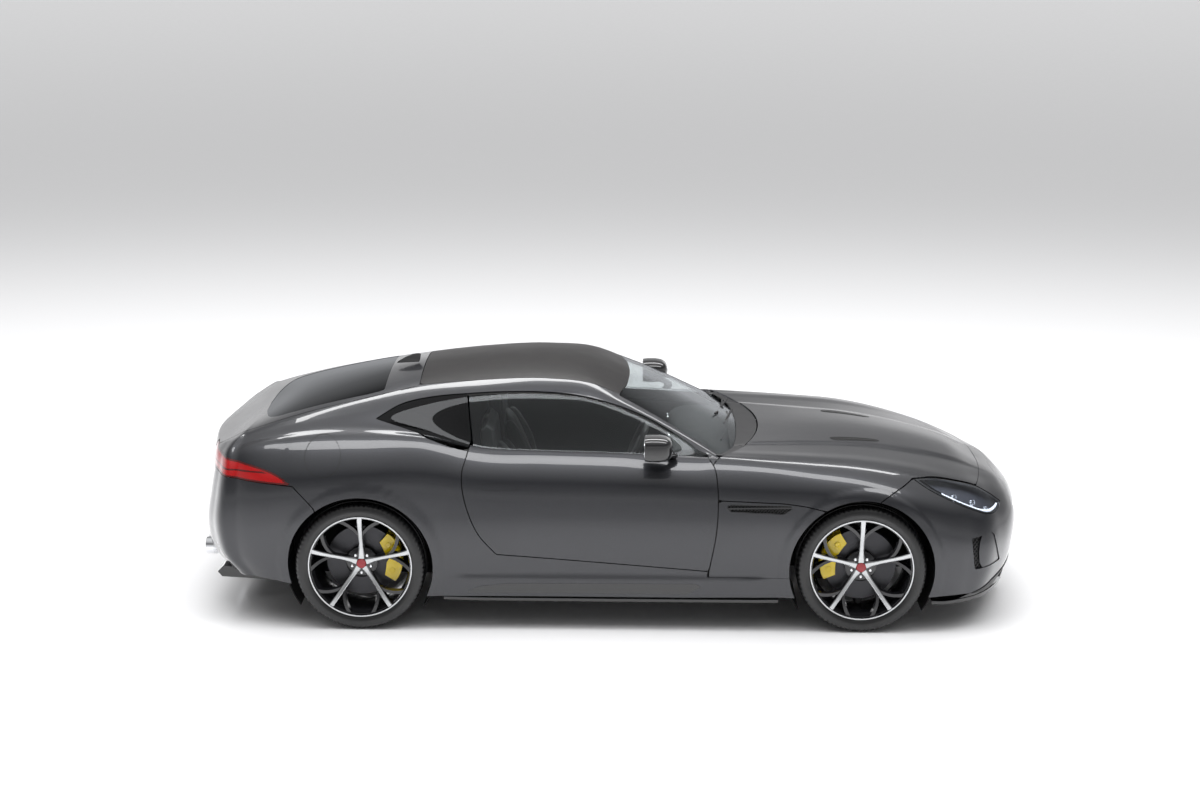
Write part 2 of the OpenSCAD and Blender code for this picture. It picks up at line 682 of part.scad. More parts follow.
// Rubber stops that the closed bonnet and hatch rest on
module stops() {
    difference() {
        for (side = [1, -1]) mirrored(side) {
            translate([bx(1900), rail_y + 30, front_rail_z + rail_h - 5])
                cylinder(d = 30, h = 600, $fn = 24);
            translate([bx(-1990), rail_y + 30, luggage_z])
                cylinder(d = 30, h = 600, $fn = 24);
        }
        shell(FRONT_LINES, BONNET_US, BONNET_VS, -600, panel_t + seat_gap);
        shell(REAR_LINES, HATCH_US, HATCH_VS, -600, hatch_t + seat_gap);
    }
}
module floor_pan() {
    color("dimgray") {
        difference() {
            union() {
                translate([-axle_x + liner_r + 20, -by(760), floor_z - 20])
                    cube([2 * axle_x - 2 * liner_r - 40, 2 * by(760), 20]);
                // Bulkheads in front of and behind the cabin
                translate([bx(720), -by(700), floor_z - 20])
                    cube([16, 2 * by(700), bz(850) - floor_z + 20]);
                translate([bx(-900), -by(640), floor_z - 20])
                    cube([16, 2 * by(640), luggage_z + 15 - floor_z + 20]);
                // Luggage floor between the rear wheels, and its end panel
                translate([bx(-2040), -by(566), luggage_z])
                    cube([bx(-884) - bx(-2040), 2 * by(566), 16]);
                translate([bx(-2040), -by(552), rear_rail_z - 20])
                    cube([16, 2 * by(552), luggage_z - rear_rail_z + 21]);
                for (side = [1, -1]) mirrored(side) {
                    // Chassis rails to the front and rear
                    translate([bx(720), rail_y, front_rail_z])
                        cube([bx(2025) - bx(720), rail_w, rail_h]);
                    translate([bx(-2040), rail_y, rear_rail_z])
                        cube([bx(-884) - bx(-2040), rail_w, luggage_z - rear_rail_z + 1]);
                    // Braces to the front wheels' liners, and hangers for the diffuser
                    translate([bx(720), 600, wheel_r - 20])
                        cube([axle_x - liner_r - 3 - bx(720), 40, 30]);
                    translate([bx(-2040), rail_y - 80, bz(226)])
                        cube([16, rail_w, rear_rail_z - bz(226) + 1]);
                }
                // Bar behind the front bumper
                translate([bx(2020), -by(420), front_rail_z]) cube([40, 2 * by(420), 120]);
                // Scuttle under the windscreen
                translate([bx(640), -by(690), bz(835)])
                    cube([bx(800) - bx(640), 2 * by(690), 14]);
            }
            // Tunnel
            translate([bx(-960), -110, floor_z - 21])
                cube([bx(760) - bx(-960), 220, tunnel_h + 10]);
        }
        for (side = [1, -1]) mirrored(side)
            translate([bx(-890), 110, floor_z - 20]) cube([bx(726) - bx(-890), 8, tunnel_h]);
        translate([bx(-890), -118, floor_z + tunnel_h - 20])
            cube([bx(726) - bx(-890), 236, 8]);
        for (x = [axle_x, -axle_x], side = [1, -1]) liner(x, side);
        for (side = [1, -1]) resize([0, 0, 0]) mirrored(side) sill_beam();
        resize([0, 0, 0]) bumper_brackets();
        resize([0, 0, 0]) stops();
    }
}

engine_z = 300;
module engine_block() {
    color("gray") {
        translate([bx(820), -270, engine_z]) cube([660, 540, 475]);
        for (side = [1, -1]) mirrored(side)
            translate([axle_x - 110, 180, cross_beam_top + touch])
                cube([80, 80, engine_z - cross_beam_top + 1]);
    }
}
pipe_d = 60;
pipe_z = floor_z + 60;
tail_pipe_d = 92;
tail_pipe_z = 320;
TAIL_PIPES = [-by(500), -by(400), by(400), by(500)];
module exhaust() {
    color("silver") {
        for (y = [-60, 60]) translate([bx(-1700), y, pipe_z]) rotate([0, 90, 0])
            cylinder(d = pipe_d, h = bx(800) - bx(-1700), $fn = 32);
        translate([bx(-1990), -480, 240]) cube([bx(-1690) - bx(-1990), 960, 130]);
        for (y = TAIL_PIPES) translate([bx(-2150), y, tail_pipe_z]) rotate([0, 90, 0])
            difference() {
                cylinder(d = tail_pipe_d, h = 200, $fn = 48);
                translate([0, 0, -1]) cylinder(d = tail_pipe_d - 8, h = 120, $fn = 48);
            }
        // Hangers up to the rear rails
        for (side = [1, -1]) mirrored(side) translate([bx(-1840), rail_y + 30, 365])
            cylinder(d = 20, h = rear_rail_z - 365 - touch, $fn = 24);
    }
}

// Wheel, brake and carrier places along the axle, from the wheel's middle plane, outwards
mount_face = 38;
hat_h = 34;
disc_out = mount_face - hat_h;
spindle_d = 48;
running_gap = 0.08;
front_wheel_y = front_track / 2;
rear_wheel_y = rear_track / 2;
kingpin_in = 50;                  // kingpin axis, inwards from the wheel's middle plane
ball_d = 26;
lower_ball = 200;                 // ball joints below and above the axle
upper_ball = 198;

// Puts a drawing made round the axle, outwards along +Z, at a wheel
module at_wheel(x, y, side) {
    mirrored(side) translate([x, y, wheel_r]) rotate([-90, 0, 0]) children();
}
module tyre(x, y, side, w) {
    rim_bed = rim_d / 2 - 14;
    color("black") at_wheel(x, y, side) rotate_extrude($fn = 128) polygon([
        [rim_bed + 0.3, -w / 2 + 22.6], [rim_d / 2 + 0.4, -w / 2 + 16.4],
        [rim_d / 2 + 4, -w / 2 + 8], [rim_d / 2 + 30, -w / 2],
        [wheel_r - 24, -w / 2 + 2], [wheel_r - 6, -w / 2 + 16], [wheel_r, -w / 2 + 42],
        [wheel_r, w / 2 - 42], [wheel_r - 6, w / 2 - 16], [wheel_r - 24, w / 2 - 2],
        [rim_d / 2 + 30, w / 2], [rim_d / 2 + 4, w / 2 - 8],
        [rim_d / 2 + 0.4, w / 2 - 16.4], [rim_bed + 0.3, w / 2 - 22.6]
    ]);
}
spoke_count = 5;
spoke_w = 34;
module wheel(x, y, side, w) {
    lip_r = rim_d / 2;
    bed_r = lip_r - 14;
    edge = w / 2 - 8;
    color("silver") at_wheel(x, y, side) {
        difference() {
            union() {
                rotate_extrude($fn = 128) polygon([
                    [bed_r - 10, -edge], [lip_r, -edge], [lip_r, -edge + 8], [bed_r, -edge + 14],
                    [bed_r, edge - 14], [lip_r, edge - 8], [lip_r, edge], [bed_r - 10, edge]
                ]);
                translate([0, 0, mount_face]) cylinder(r = 82, h = 40, $fn = 64);
                for (i = [0 : spoke_count - 1]) rotate([0, 0, 90 + i * 360 / spoke_count]) {
                    translate([60, -spoke_w / 2, mount_face + 22])
                        cube([bed_r - 64, spoke_w, 38]);
                    for (a = [-1, 1]) rotate([0, 0, a * 14]) translate([150, -8, mount_face + 22])
                        cube([bed_r - 156, 16, 30]);
                }
            }
            translate([0, 0, mount_face - 1]) cylinder(d = spindle_d + 20, h = 30, $fn = 48);
        }
    }
}
module disc(x, y, side, d) {
    color("darkgray") at_wheel(x, y, side) difference() {
        union() {
            translate([0, 0, disc_out - disc_t]) cylinder(d = d, h = disc_t, $fn = 96);
            cylinder(r = 80, h = mount_face, $fn = 64);
        }
        translate([0, 0, disc_out - disc_t - 1])
            cylinder(d = spindle_d + 2 * running_gap, h = disc_t + 100, $fn = 48);
        translate([0, 0, disc_out + 0.5 - disc_t]) cylinder(d = 120, h = disc_t + 20, $fn = 48);
    }
}
// Hub carrier: a bearing housing, an upright and the spindle
carrier_out = disc_out - disc_t - 5.5;
module carrier() {
    translate([0, 0, carrier_out - 55]) cylinder(r = 58, h = 55, $fn = 64);
    translate([0, 0, carrier_out - 30])
        cylinder(d = spindle_d, h = mount_face + 20 - carrier_out + 30, $fn = 48);
}
caliper_span = 46;
function bracket_reach(d) = sqrt(pow(d / 2 - 62 - touch, 2) - 40 * 40) - 40;
module caliper(d, at) {
    rotate([0, 0, at - caliper_span / 2]) difference() {
        rotate_extrude(angle = caliper_span, $fn = 96) polygon([
            [d / 2 - 62, disc_out - disc_t - 34], [d / 2 + 26, disc_out - disc_t - 34],
            [d / 2 + 26, disc_out + 28], [d / 2 - 62, disc_out + 28],
            [d / 2 - 62, disc_out + 6], [d / 2 + 6, disc_out + 6],
            [d / 2 + 6, disc_out - disc_t - 6], [d / 2 - 62, disc_out - disc_t - 6]
        ]);
    }
}
// Angles of the calipers round the axle: the front ones trail, the rear ones lead
front_caliper_at = 196;
rear_caliper_at = -8;
module front_caliper(side) {
    color("gold") at_wheel(axle_x, front_wheel_y, side) caliper(front_disc_d, front_caliper_at);
}
module rear_calipers() {
    color("gold") for (side = [1, -1])
        at_wheel(-axle_x, rear_wheel_y, side) caliper(rear_disc_d, rear_caliper_at);
}
arm_t = 26;
module knuckle(side) {
    color("darkgray") {
        at_wheel(axle_x, front_wheel_y, side) {
            carrier();
            // Bracket that carries the caliper
            rotate([0, 0, front_caliper_at]) translate([40, -40, carrier_out - 29.5])
                cube([bracket_reach(front_disc_d), 80, 24]);
        }
        mirrored(side) {
            translate([axle_x - 30, front_wheel_y - kingpin_in - 16, wheel_r - lower_ball + 8])
                cube([60, 32, lower_ball + upper_ball - 16]);
            translate([axle_x, front_wheel_y - kingpin_in, wheel_r - lower_ball - arm_t - 6])
                cylinder(d = ball_d, h = arm_t + 20, $fn = 32);
            translate([axle_x, front_wheel_y - kingpin_in, wheel_r + upper_ball - 14])
                cylinder(d = ball_d, h = arm_t + 20, $fn = 32);
            // Steering arm
            translate([axle_x - 150, front_wheel_y - kingpin_in - 16, wheel_r - 110])
                cube([130, 26, 24]);
        }
    }
}
module arm(x, tip_y, z, root_y, root_w) {
    half = [[root_w, root_y], [30, tip_y - 190], [20, tip_y], [14, tip_y + 17]];
    difference() {
        translate([x, 0, z]) linear_extrude(arm_t) polygon(concat(
            half, [for (i = [3 : -1 : 0]) [-half[i][0], half[i][1]]]));
        translate([x, tip_y, z - 1])
            cylinder(d = ball_d + 2 * running_gap, h = arm_t + 2, $fn = 32);
    }
}
lower_arm_z = wheel_r - lower_ball - arm_t;
upper_arm_z = wheel_r + upper_ball;
cross_beam_top = lower_arm_z + 50;
tower_y = rail_y + rail_w + touch;
module front_subframe() {
    ky = front_wheel_y - kingpin_in;
    color("dimgray") {
        for (side = [1, -1]) mirrored(side) {
            arm(axle_x, ky, lower_arm_z, rail_y, 130);
            arm(axle_x, ky, upper_arm_z, tower_y + 10, 110);
            translate([axle_x - 110, tower_y, front_rail_z + 20])
                cube([220, 30, upper_arm_z + arm_t - front_rail_z - 20]);
            // Spring and damper
            translate([axle_x, 470, lower_arm_z + 10])
                cylinder(d = 90, h = upper_arm_z - lower_arm_z, $fn = 40);
            translate([axle_x, 470, upper_arm_z + 10]) cylinder(d = 104, h = 70, $fn = 40);
            // Posts up to the chassis rails
            translate([axle_x - 220, rail_y - 30, lower_arm_z])
                cube([100, 60, front_rail_z - lower_arm_z - touch]);
        }
        translate([axle_x - 130, -rail_y - 2, lower_arm_z]) cube([260, 2 * rail_y + 4, 50]);
        // Steering rack
        translate([axle_x - 190, 0, wheel_r - 130]) rotate([90, 0, 0])
            cylinder(d = 60, h = 2 * 450, center = true, $fn = 40);
    }
}
module rear_subframe() {
    color("dimgray") {
        for (side = [1, -1]) {
            at_wheel(-axle_x, rear_wheel_y, side) {
                carrier();
                rotate([0, 0, rear_caliper_at]) translate([40, -40, carrier_out - 29.5])
                    cube([bracket_reach(rear_disc_d), 80, 24]);
            }
            mirrored(side) {
                translate([-axle_x - 35, rear_wheel_y - 90, wheel_r - 150])
                    cube([70, 40, 300]);
                translate([-axle_x - 110, 300, wheel_r - 150])
                    cube([220, rear_wheel_y - 380, 28]);
                translate([-axle_x - 60, tower_y, wheel_r + 118])
                    cube([120, rear_wheel_y - 80 - tower_y, 28]);
                translate([-axle_x, 480, wheel_r - 130])
                    cylinder(d = 90, h = luggage_z - wheel_r + 130 - touch, $fn = 40);
                // Drive shaft
                translate([-axle_x, 150, wheel_r]) rotate([-90, 0, 0])
                    cylinder(d = 44, h = rear_wheel_y - 240, $fn = 32);
            }
        }
        // Cross-beam over the exhaust pipes, and the final drive on it
        difference() {
            translate([-axle_x - 150, -302, wheel_r - 150]) cube([300, 604, 120]);
            translate([-axle_x - 160, -100, wheel_r - 160])
                cube([320, 200, pipe_z + pipe_d / 2 + 10 - wheel_r + 160]);
        }
        translate([-axle_x - 120, -152, pipe_z + pipe_d / 2 + 10])
            cube([240, 304, wheel_r + 95 - pipe_z - pipe_d / 2 - 10]);
    }
}

// ---- Cabin ----
seat_x = -400;
module seat(y) {
    translate([bx(seat_x), y + seat_w / 2, floor_z + touch]) rotate([90, 0, 0])
        linear_extrude(seat_w) polygon([
            [-150, 0], [330, 0], [350, 150], [320, 210], [40, 165], [-40, 230],
            [-190, 610], [-215, 850], [-290, 870], [-330, 830], [-300, 590], [-190, 130]
        ]);
}
module seats() {
    color("black") for (side = [1, -1]) seat(side * seat_y);
}
module dashboard() {
    color("black") difference() {
        union() {
            rotate([90, 0, 0]) linear_extrude(2 * by(690), center = true) polygon(side_points([
                [719.9, 560], [719.9, 828], [630, 832], [560, 848], [400, 843], [310, 800],
                [300, 700], [400, 600], [480, 560]
            ]));
            translate([bx(-560), -100, floor_z + tunnel_h - 12 + touch])
                cube([bx(560) - bx(-560), 200, 170]);
            translate([bx(440), -100, 480]) cube([bx(600) - bx(440), 200, 100]);
            at_steering_wheel() translate([0, 0, 110]) cylinder(d = 84, h = 140, $fn = 40);
        }
        at_steering_wheel() cylinder(d = column_d + 2 * running_gap, h = 215, $fn = 32);
    }
}
// The steering wheel is on the right-hand seat's side
wheel_tilt = 24;
column_x = 128;
column_z = 868;
rim_section_d = 30;
column_d = 44;
module at_steering_wheel() {
    translate([bx(column_x), -seat_y, bz(column_z)]) rotate([0, 90 + wheel_tilt, 0]) children();
}
module steering_wheel() {
    color("black") at_steering_wheel() {
        rotate_extrude($fn = 64) translate([steering_wheel_d / 2 - rim_section_d / 2, 0])
            circle(d = rim_section_d, $fn = 24);
        cylinder(d = 110, h = 46, $fn = 48);
        cylinder(d = column_d, h = 190, $fn = 32);
        for (a = [0, 90, 270]) rotate([0, 0, a]) translate([40, -14, 2])
            cube([steering_wheel_d / 2 - 60, 28, 14]);
    }
}

floor_pan();
body_sides();
roof_panel();
windshield();
quarter_windows();
front_bumper();
front_fenders();
bonnet();
hatch();
rear_glass();
rear_bumper();
lower_trim();
headlights();
tail_lights();
grilles();
door(1);  // door_left
door(-1);  // door_right
door_glass(1);  // door_glass_left
door_glass(-1);  // door_glass_right
mirror_unit(1);  // mirror_left
mirror_unit(-1);  // mirror_right
seats();
dashboard();
steering_wheel();
front_subframe();
rear_subframe();
engine_block();
exhaust();
knuckle(1);  // knuckle_left
knuckle(-1);  // knuckle_right
front_caliper(1);  // front_caliper_left
front_caliper(-1);  // front_caliper_right
rear_calipers();
tyre(axle_x, front_wheel_y, 1, front_tyre_w);  // front_left_tyre
tyre(axle_x, front_wheel_y, -1, front_tyre_w);  // front_right_tyre
tyre(-axle_x, rear_wheel_y, 1, rear_tyre_w);  // rear_left_tyre
tyre(-axle_x, rear_wheel_y, -1, rear_tyre_w);  // rear_right_tyre
wheel(axle_x, front_wheel_y, 1, front_tyre_w);  // front_left_wheel
wheel(axle_x, front_wheel_y, -1, front_tyre_w);  // front_right_wheel
wheel(-axle_x, rear_wheel_y, 1, rear_tyre_w);  // rear_left_wheel
wheel(-axle_x, rear_wheel_y, -1, rear_tyre_w);  // rear_right_wheel
disc(axle_x, front_wheel_y, 1, front_disc_d);  // front_left_disc
disc(axle_x, front_wheel_y, -1, front_disc_d);  // front_right_disc
disc(-axle_x, rear_wheel_y, 1, rear_disc_d);  // rear_left_disc
disc(-axle_x, rear_wheel_y, -1, rear_disc_d);  // rear_right_disc
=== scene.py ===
"""Looks of a two-seat fastback coupe, built round its CAD frame. Metres: +X forwards, +Y left, +Z up."""
import math

import bpy
import numpy as np
from mathutils import Matrix, Vector
from mathutils.bvhtree import BVHTree
from mathutils.geometry import tessellate_polygon


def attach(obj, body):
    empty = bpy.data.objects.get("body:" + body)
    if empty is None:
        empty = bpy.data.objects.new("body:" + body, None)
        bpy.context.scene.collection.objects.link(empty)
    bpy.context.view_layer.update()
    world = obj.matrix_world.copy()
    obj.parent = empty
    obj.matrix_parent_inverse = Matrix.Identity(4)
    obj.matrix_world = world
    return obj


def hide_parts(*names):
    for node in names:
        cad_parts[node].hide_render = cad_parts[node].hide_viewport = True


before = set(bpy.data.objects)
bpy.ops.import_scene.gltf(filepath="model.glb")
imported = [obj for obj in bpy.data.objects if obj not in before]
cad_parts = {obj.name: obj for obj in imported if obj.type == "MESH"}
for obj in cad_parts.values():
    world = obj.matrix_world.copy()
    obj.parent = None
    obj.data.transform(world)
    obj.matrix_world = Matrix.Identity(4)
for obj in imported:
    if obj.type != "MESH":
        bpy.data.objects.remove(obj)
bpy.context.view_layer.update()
PI = math.pi
SIDES = ((1, "left"), (-1, "right"))
# stands a drawing up: its x stays, its second direction becomes height, its depth runs to the right
UPRIGHT = Matrix(((1, 0, 0, 0), (0, 0, -1, 0), (0, 1, 0, 0), (0, 0, 0, 1)))

# ---------------------------------------------------------------- body surface
# Lines from the sill to the crown (mm) at stations along the car, the same as the CAD body's:
# sill, rocker, waist, flank, shoulder, belt, cant rail, roof rail and crown.
REAR = [
    (-2235, (-2130, 0, 230), (-2215, 0, 330), (-2235, 0, 480), (-2215, 0, 640), (-2200, 0, 755),
     (-2200, 0, 830), (-2185, 0, 868), (-2150, 0, 892), (-2100, 0, 914)),
    (-2190, (-2090, 430, 230), (-2170, 450, 340), (-2192, 460, 490), (-2170, 455, 650),
     (-2150, 445, 765), (-2145, 435, 845), (-2128, 415, 885), (-2090, 375, 912), (-2030, 0, 944)),
    (-2110, (-1995, 700, 240), (-2075, 745, 360), (-2105, 758, 520), (-2088, 750, 680),
     (-2072, 715, 800), (-2058, 680, 888), (-2035, 635, 930), (-2000, 560, 958), (-1950, 0, 978)),
    (-1950, (-1880, 815, 250), (-1945, 850, 370), (-1960, 868, 550), (-1955, 850, 730),
     (-1950, 765, 912), (-1945, 700, 945), (-1935, 640, 974), (-1920, 560, 992), (-1870, 0, 1014)),
    (-1700, (890, 240), (915, 400), (938, 600), (910, 800), (778, 978), (700, 1008), (630, 1040),
     (530, 1064), (0, 1084)),
    (-1312, (930, 200), (952, 400), (962, 620), (928, 850), (800, 1005), (700, 1048),
     (600, 1112), (485, 1158), (0, 1192)),
    (-1000, (926, 186), (942, 380), (946, 620), (908, 858), (788, 1002), (716, 1022),
     (560, 1164), (440, 1216), (0, 1258)),
    (-700, (914, 186), (925, 345), (928, 620), (886, 830), (772, 946), (748, 952), (562, 1200),
     (455, 1248), (0, 1297)),
    (-350, (910, 186), (916, 340), (922, 620), (880, 820), (773, 930), (755, 936), (563, 1208),
     (462, 1262), (0, 1311)),
    (-100, (910, 186), (915, 340), (921, 620), (880, 815), (774, 924), (757, 930), (573, 1188),
     (485, 1236), (0, 1280)),
    (50, (910, 186), (915, 340), (921, 620), (880, 812), (774, 920), (757, 926), (596, 1142),
     (524, 1172), (0, 1222)),
    (250, (910, 186), (916, 340), (922, 620), (882, 808), (773, 912), (757, 917), (640, 1054),
     (592, 1074), (0, 1124)),
    (450, (910, 186), (918, 340), (925, 620), (885, 802), (776, 906), (755, 908), (697, 946),
     (662, 962), (0, 1020)),
    (580, (910, 188), (920, 340), (928, 620), (888, 800), (782, 902), (756, 900), (738, 876),
     (718, 886), (0, 954)),
    (800, (912, 190), (924, 350), (935, 620), (895, 790), (800, 800), (790, 780), (780, 760),
     (770, 770), (0, 842)),
    (1050, (922, 190), (934, 380), (943, 615), (906, 782), (800, 700), (790, 680), (780, 660),
     (770, 650), (0, 730)),
]
FRONT = [
    (350, (910, 186), (917, 340), (923, 620), (883, 804), (773, 908), (700, 912), (600, 912),
     (430, 906), (0, 908)),
    (580, (910, 188), (920, 340), (928, 620), (888, 800), (784, 902), (700, 910), (600, 908),
     (430, 903), (0, 906)),
    (800, (912, 190), (924, 350), (935, 620), (896, 790), (802, 886), (700, 902), (590, 901),
     (430, 900), (0, 904)),
    (1050, (922, 190), (934, 380), (943, 615), (906, 782), (812, 868), (698, 890), (580, 890),
     (420, 892), (0, 902)),
    (1311, (928, 190), (940, 380), (948, 600), (912, 762), (810, 846), (690, 870), (560, 873),
     (400, 878), (0, 892)),
    (1600, (915, 196), (930, 350), (934, 560), (892, 710), (776, 792), (655, 818), (530, 826),
     (380, 834), (0, 852)),
    (1850, (1845, 860, 200), (1868, 868, 330), (1876, 868, 500), (1870, 820, 630),
     (1855, 708, 722), (1850, 606, 748), (1850, 490, 762), (1850, 350, 774), (1850, 0, 792)),
    (2020, (1995, 730, 185), (2030, 748, 300), (2050, 752, 470), (2044, 700, 585),
     (2015, 605, 660), (2000, 510, 696), (1985, 400, 716), (1975, 280, 732), (1957, 0, 748)),
    (2140, (2095, 440, 172), (2150, 465, 280), (2180, 472, 450), (2178, 445, 550),
     (2152, 385, 620), (2125, 325, 656), (2100, 260, 682), (2060, 180, 704), (2000, 0, 728)),
    (2235, (2140, 0, 168), (2202, 0, 270), (2235, 0, 440), (2232, 0, 530), (2205, 0, 594),
     (2165, 0, 638), (2122, 0, 670), (2074, 0, 698), (2016, 0, 721)),
]
TAIL, NOSE, AXLE, WHEEL_R, ARCH_R = -2235, 2235, 1311, 343, 381
FLIP = np.array((1, -1, 1.0))


def padded(rows):
    """Rows of points and their stations, with one more beyond each end for the slopes."""
    p = np.array([[q if len(q) == 3 else (r[0], *q) for q in r[1:]] for r in rows], float)
    t = np.array([r[0] for r in rows], float)
    first = p[1] * FLIP if abs(p[0, 0, 1]) < 1 else 2 * p[0] - p[1]
    last = p[-2] * FLIP if abs(p[-1, 0, 1]) < 1 else 2 * p[-1] - p[-2]
    return (np.concatenate([[first], p, [last]]),
            np.concatenate([[2 * t[0] - t[1]], t, [2 * t[-1] - t[-2]]]))


def hermite(p0, p1, p2, p3, t0, t1, t2, t3, u):
    """Smooth curve between p1 and p2, with finite-difference slopes."""
    a, h, b = t1 - t0, t2 - t1, t3 - t2
    s1 = ((p1 - p0) * h / a + (p2 - p1) * a / h) / (a + h)
    s2 = ((p2 - p1) * b / h + (p3 - p2) * h / b) / (h + b)
    q = (u - t1) / h
    return (p1 * (1 + 2 * q) * (1 - q) ** 2 + p2 * q * q * (3 - 2 * q)
            + s1 * h * q * (1 - q) ** 2 - s2 * h * q * q * (1 - q))


def surface(rows, us, vs):
    """Points (mm) of the body surface over stations us and line positions vs, 0 to 16."""
    p, t = padded(rows)
    us = np.asarray(us, float)
    i = np.clip(np.searchsorted(t, us, side="right") - 1, 1, len(t) - 3)
    k = [t[i + d][:, None, None] for d in (-1, 0, 1, 2)]
    half = hermite(p[i - 1], p[i], p[i + 1], p[i + 2], *k, us[:, None, None])
    q = np.concatenate([2 * half[:, :1] - half[:, 1:2], half, half[:, 7:8] * FLIP], 1)
    c = np.sqrt(np.maximum(np.linalg.norm(np.diff(q, axis=1), axis=2), 1))
    c = np.concatenate([np.zeros((len(us), 1)), np.cumsum(c, 1)], 1)
    vs = np.asarray(vs, float)
    w = np.where(vs > 8, 16 - vs, vs)
    j = np.minimum(w.astype(int), 7) + 1
    cj = [c[:, j + d][:, :, None] for d in (-1, 0, 1, 2)]
    at = cj[1] + (w - j + 1)[None, :, None] * (cj[2] - cj[1])
    g = hermite(q[:, j - 1], q[:, j], q[:, j + 1], q[:, j + 2], *cj, at)
    g[:, vs > 8, 1] *= -1
    # keeps the finer surface inside the CAD body's box
    g[..., 2] -= 15 * ease((g[..., 2] - 850) / 450)
    x = g[..., 0]
    g[..., 0] = x - 9 * ease((x - 1650) / 560) + 5 * ease((-x - 1650) / 560)
    return g


def outward(g):
    """Unit normals of a grid, pointing out of the car."""
    n = np.cross(np.gradient(g, axis=0), np.gradient(g, axis=1))
    n /= np.maximum(np.linalg.norm(n, axis=2, keepdims=True), 1e-9)
    core = np.stack([np.clip(g[..., 0], -1500, 1550), 0 * g[..., 0], 0 * g[..., 0] + 600], -1)
    return n * np.sign(np.sum(n * (g - core), 2, keepdims=True))


def ease(x):
    """Smooth step from 0 to 1."""
    x = np.clip(x, 0, 1)
    return x * x * (3 - 2 * x)


def relief(g):
    """Height (mm) of the body's creases and lips over its smooth surface."""
    x, y, z = g[..., 0], np.abs(g[..., 1]), g[..., 2]
    h = np.zeros(x.shape)
    for cx in (-AXLE, AXLE):
        r = np.hypot(x - cx, z - WHEEL_R)
        h += 5 * ease((y - 780) / 60) * ease((436 - r) / 14) * (r > 360)
    # the sill stands a little proud below a crease
    h += 7 * ease((306 - z) / 22) * ease((900 - np.abs(x)) / 160) * (y > 700)
    # raised middle of the bonnet between two creases
    along = ease((x - 560) / 160) * ease((2080 - x) / 260)
    edge = 470 - 0.155 * (x - 800)
    h += 7 * along * ease((edge - y) / 34) * (x > 500)
    return h


# ---------------------------------------------------------------- outlines (mm)
def spline(points, closed=False, n=8):
    """Smooth line through the points."""
    p = np.array(points, float)
    if closed:
        p = np.concatenate([p[-1:], p, p[:2]])
    else:
        p = np.concatenate([2 * p[:1] - p[1:2], p, 2 * p[-1:] - p[-2:-1]])
    t = np.concatenate([[0], np.cumsum(np.sqrt(np.linalg.norm(np.diff(p, axis=0), axis=1)))])
    out = []
    for i in range(1, len(p) - 2):
        for q in range(n):
            u = t[i] + (t[i + 1] - t[i]) * q / n
            out.append(hermite(p[i - 1], p[i], p[i + 1], p[i + 2], *t[i - 1:i + 3], u))
    if not closed:
        out.append(p[-2])
    return [tuple(q) for q in out]


DOOR_FRONT = spline([(500, 912), (536, 868), (550, 800), (555, 667), (545, 520), (512, 330)])
DOOR_REAR = spline([(-600, 415), (-690, 520), (-745, 640), (-775, 760), (-778, 850), (-760, 910)])
DOOR = [(496, 1000)] + DOOR_FRONT + DOOR_REAR + [(-730, 1000)]
DOOR_OPENING = DOOR_FRONT + DOOR_REAR + [(-745, 960), (357, 960), (470, 922)]
WINDOW_TOP = spline([(526, 884), (385, 976), (200, 1076), (40, 1138), (-172, 1188), (-384, 1204),
                     (-596, 1202), (-773, 1190), (-964, 1168), (-1123, 1134), (-1250, 1072)])
WINDOW_LOW = spline([(-1250, 1072), (-1010, 1012), (-768, 940), (-482, 926), (-62, 920),
                     (357, 902), (526, 884)])
WINDOW = WINDOW_TOP + WINDOW_LOW[1:-1]
BEHIND_DIVIDER = [(-724, 900), (-786, 1300), (-1400, 1300), (-1400, 900)]
AHEAD_OF_DIVIDER = [(-724, 880), (-786, 1300), (700, 1300), (700, 880)]
AHEAD_OF_DOOR = [(505, 300), (1300, 300), (1300, 1400), (800, 1400), (596, 900), (575, 880),
                 (470, 870), (530, 800)]
WING_LINE = [(556, 714), (900, 704), (1000, 692), (1100, 672)]
BONNET_LOW = spline([(1311, 640), (1425, 736), (1573, 803)])
LAMP_TOP = spline([(1573, 803), (1700, 786), (1926, 718), (2010, 672), (2075, 626)])
BONNET = ([(480, 1200), (496, 1000)] + DOOR_FRONT[:20] + WING_LINE + BONNET_LOW + LAMP_TOP[1:]
          + [(2110, 560), (2300, 560), (2300, 1200)])
HEADLIGHT = LAMP_TOP + spline([(2062, 612), (2040, 604), (1975, 610), (1750, 708), (1640, 764),
                               (1583, 798)])
TAIL_LIGHT = spline([(-1655, 778), (-1745, 826), (-1860, 858), (-2075, 884), (-2300, 890)]) + [
    (-2300, 796), (-2050, 794), (-1900, 785), (-1795, 781)]
BUMPER_TOP = [(-1540, 660), (-1655, 774), (-1795, 780), (-1900, 785), (-2050, 794), (-2400, 794)]
BELOW_TAIL = BUMPER_TOP + [(-2400, 0), (-1540, 0)]
HATCH = [(-1034, 0), (-1034, 432)] + spline([(-1312, 490), (-1700, 545), (-1920, 572),
         (-2050, 556), (-2110, 500), (-2140, 430), (-2160, 400)]) + [(-2300, 400), (-2300, 0)]
HATCH_GLASS = [(-1225, 0), (-1222, 425), (-1312, 448), (-1700, 476)] + spline(
    [(-1790, 474), (-1835, 440), (-1885, 250), (-1900, 0)])
ROOF = spline([(95, 0), (78, 260), (36, 480)])[:-1] + spline(
    [(36, 480), (-100, 468), (-350, 448), (-700, 440), (-1034, 418)]) + [(-1034, 0)]
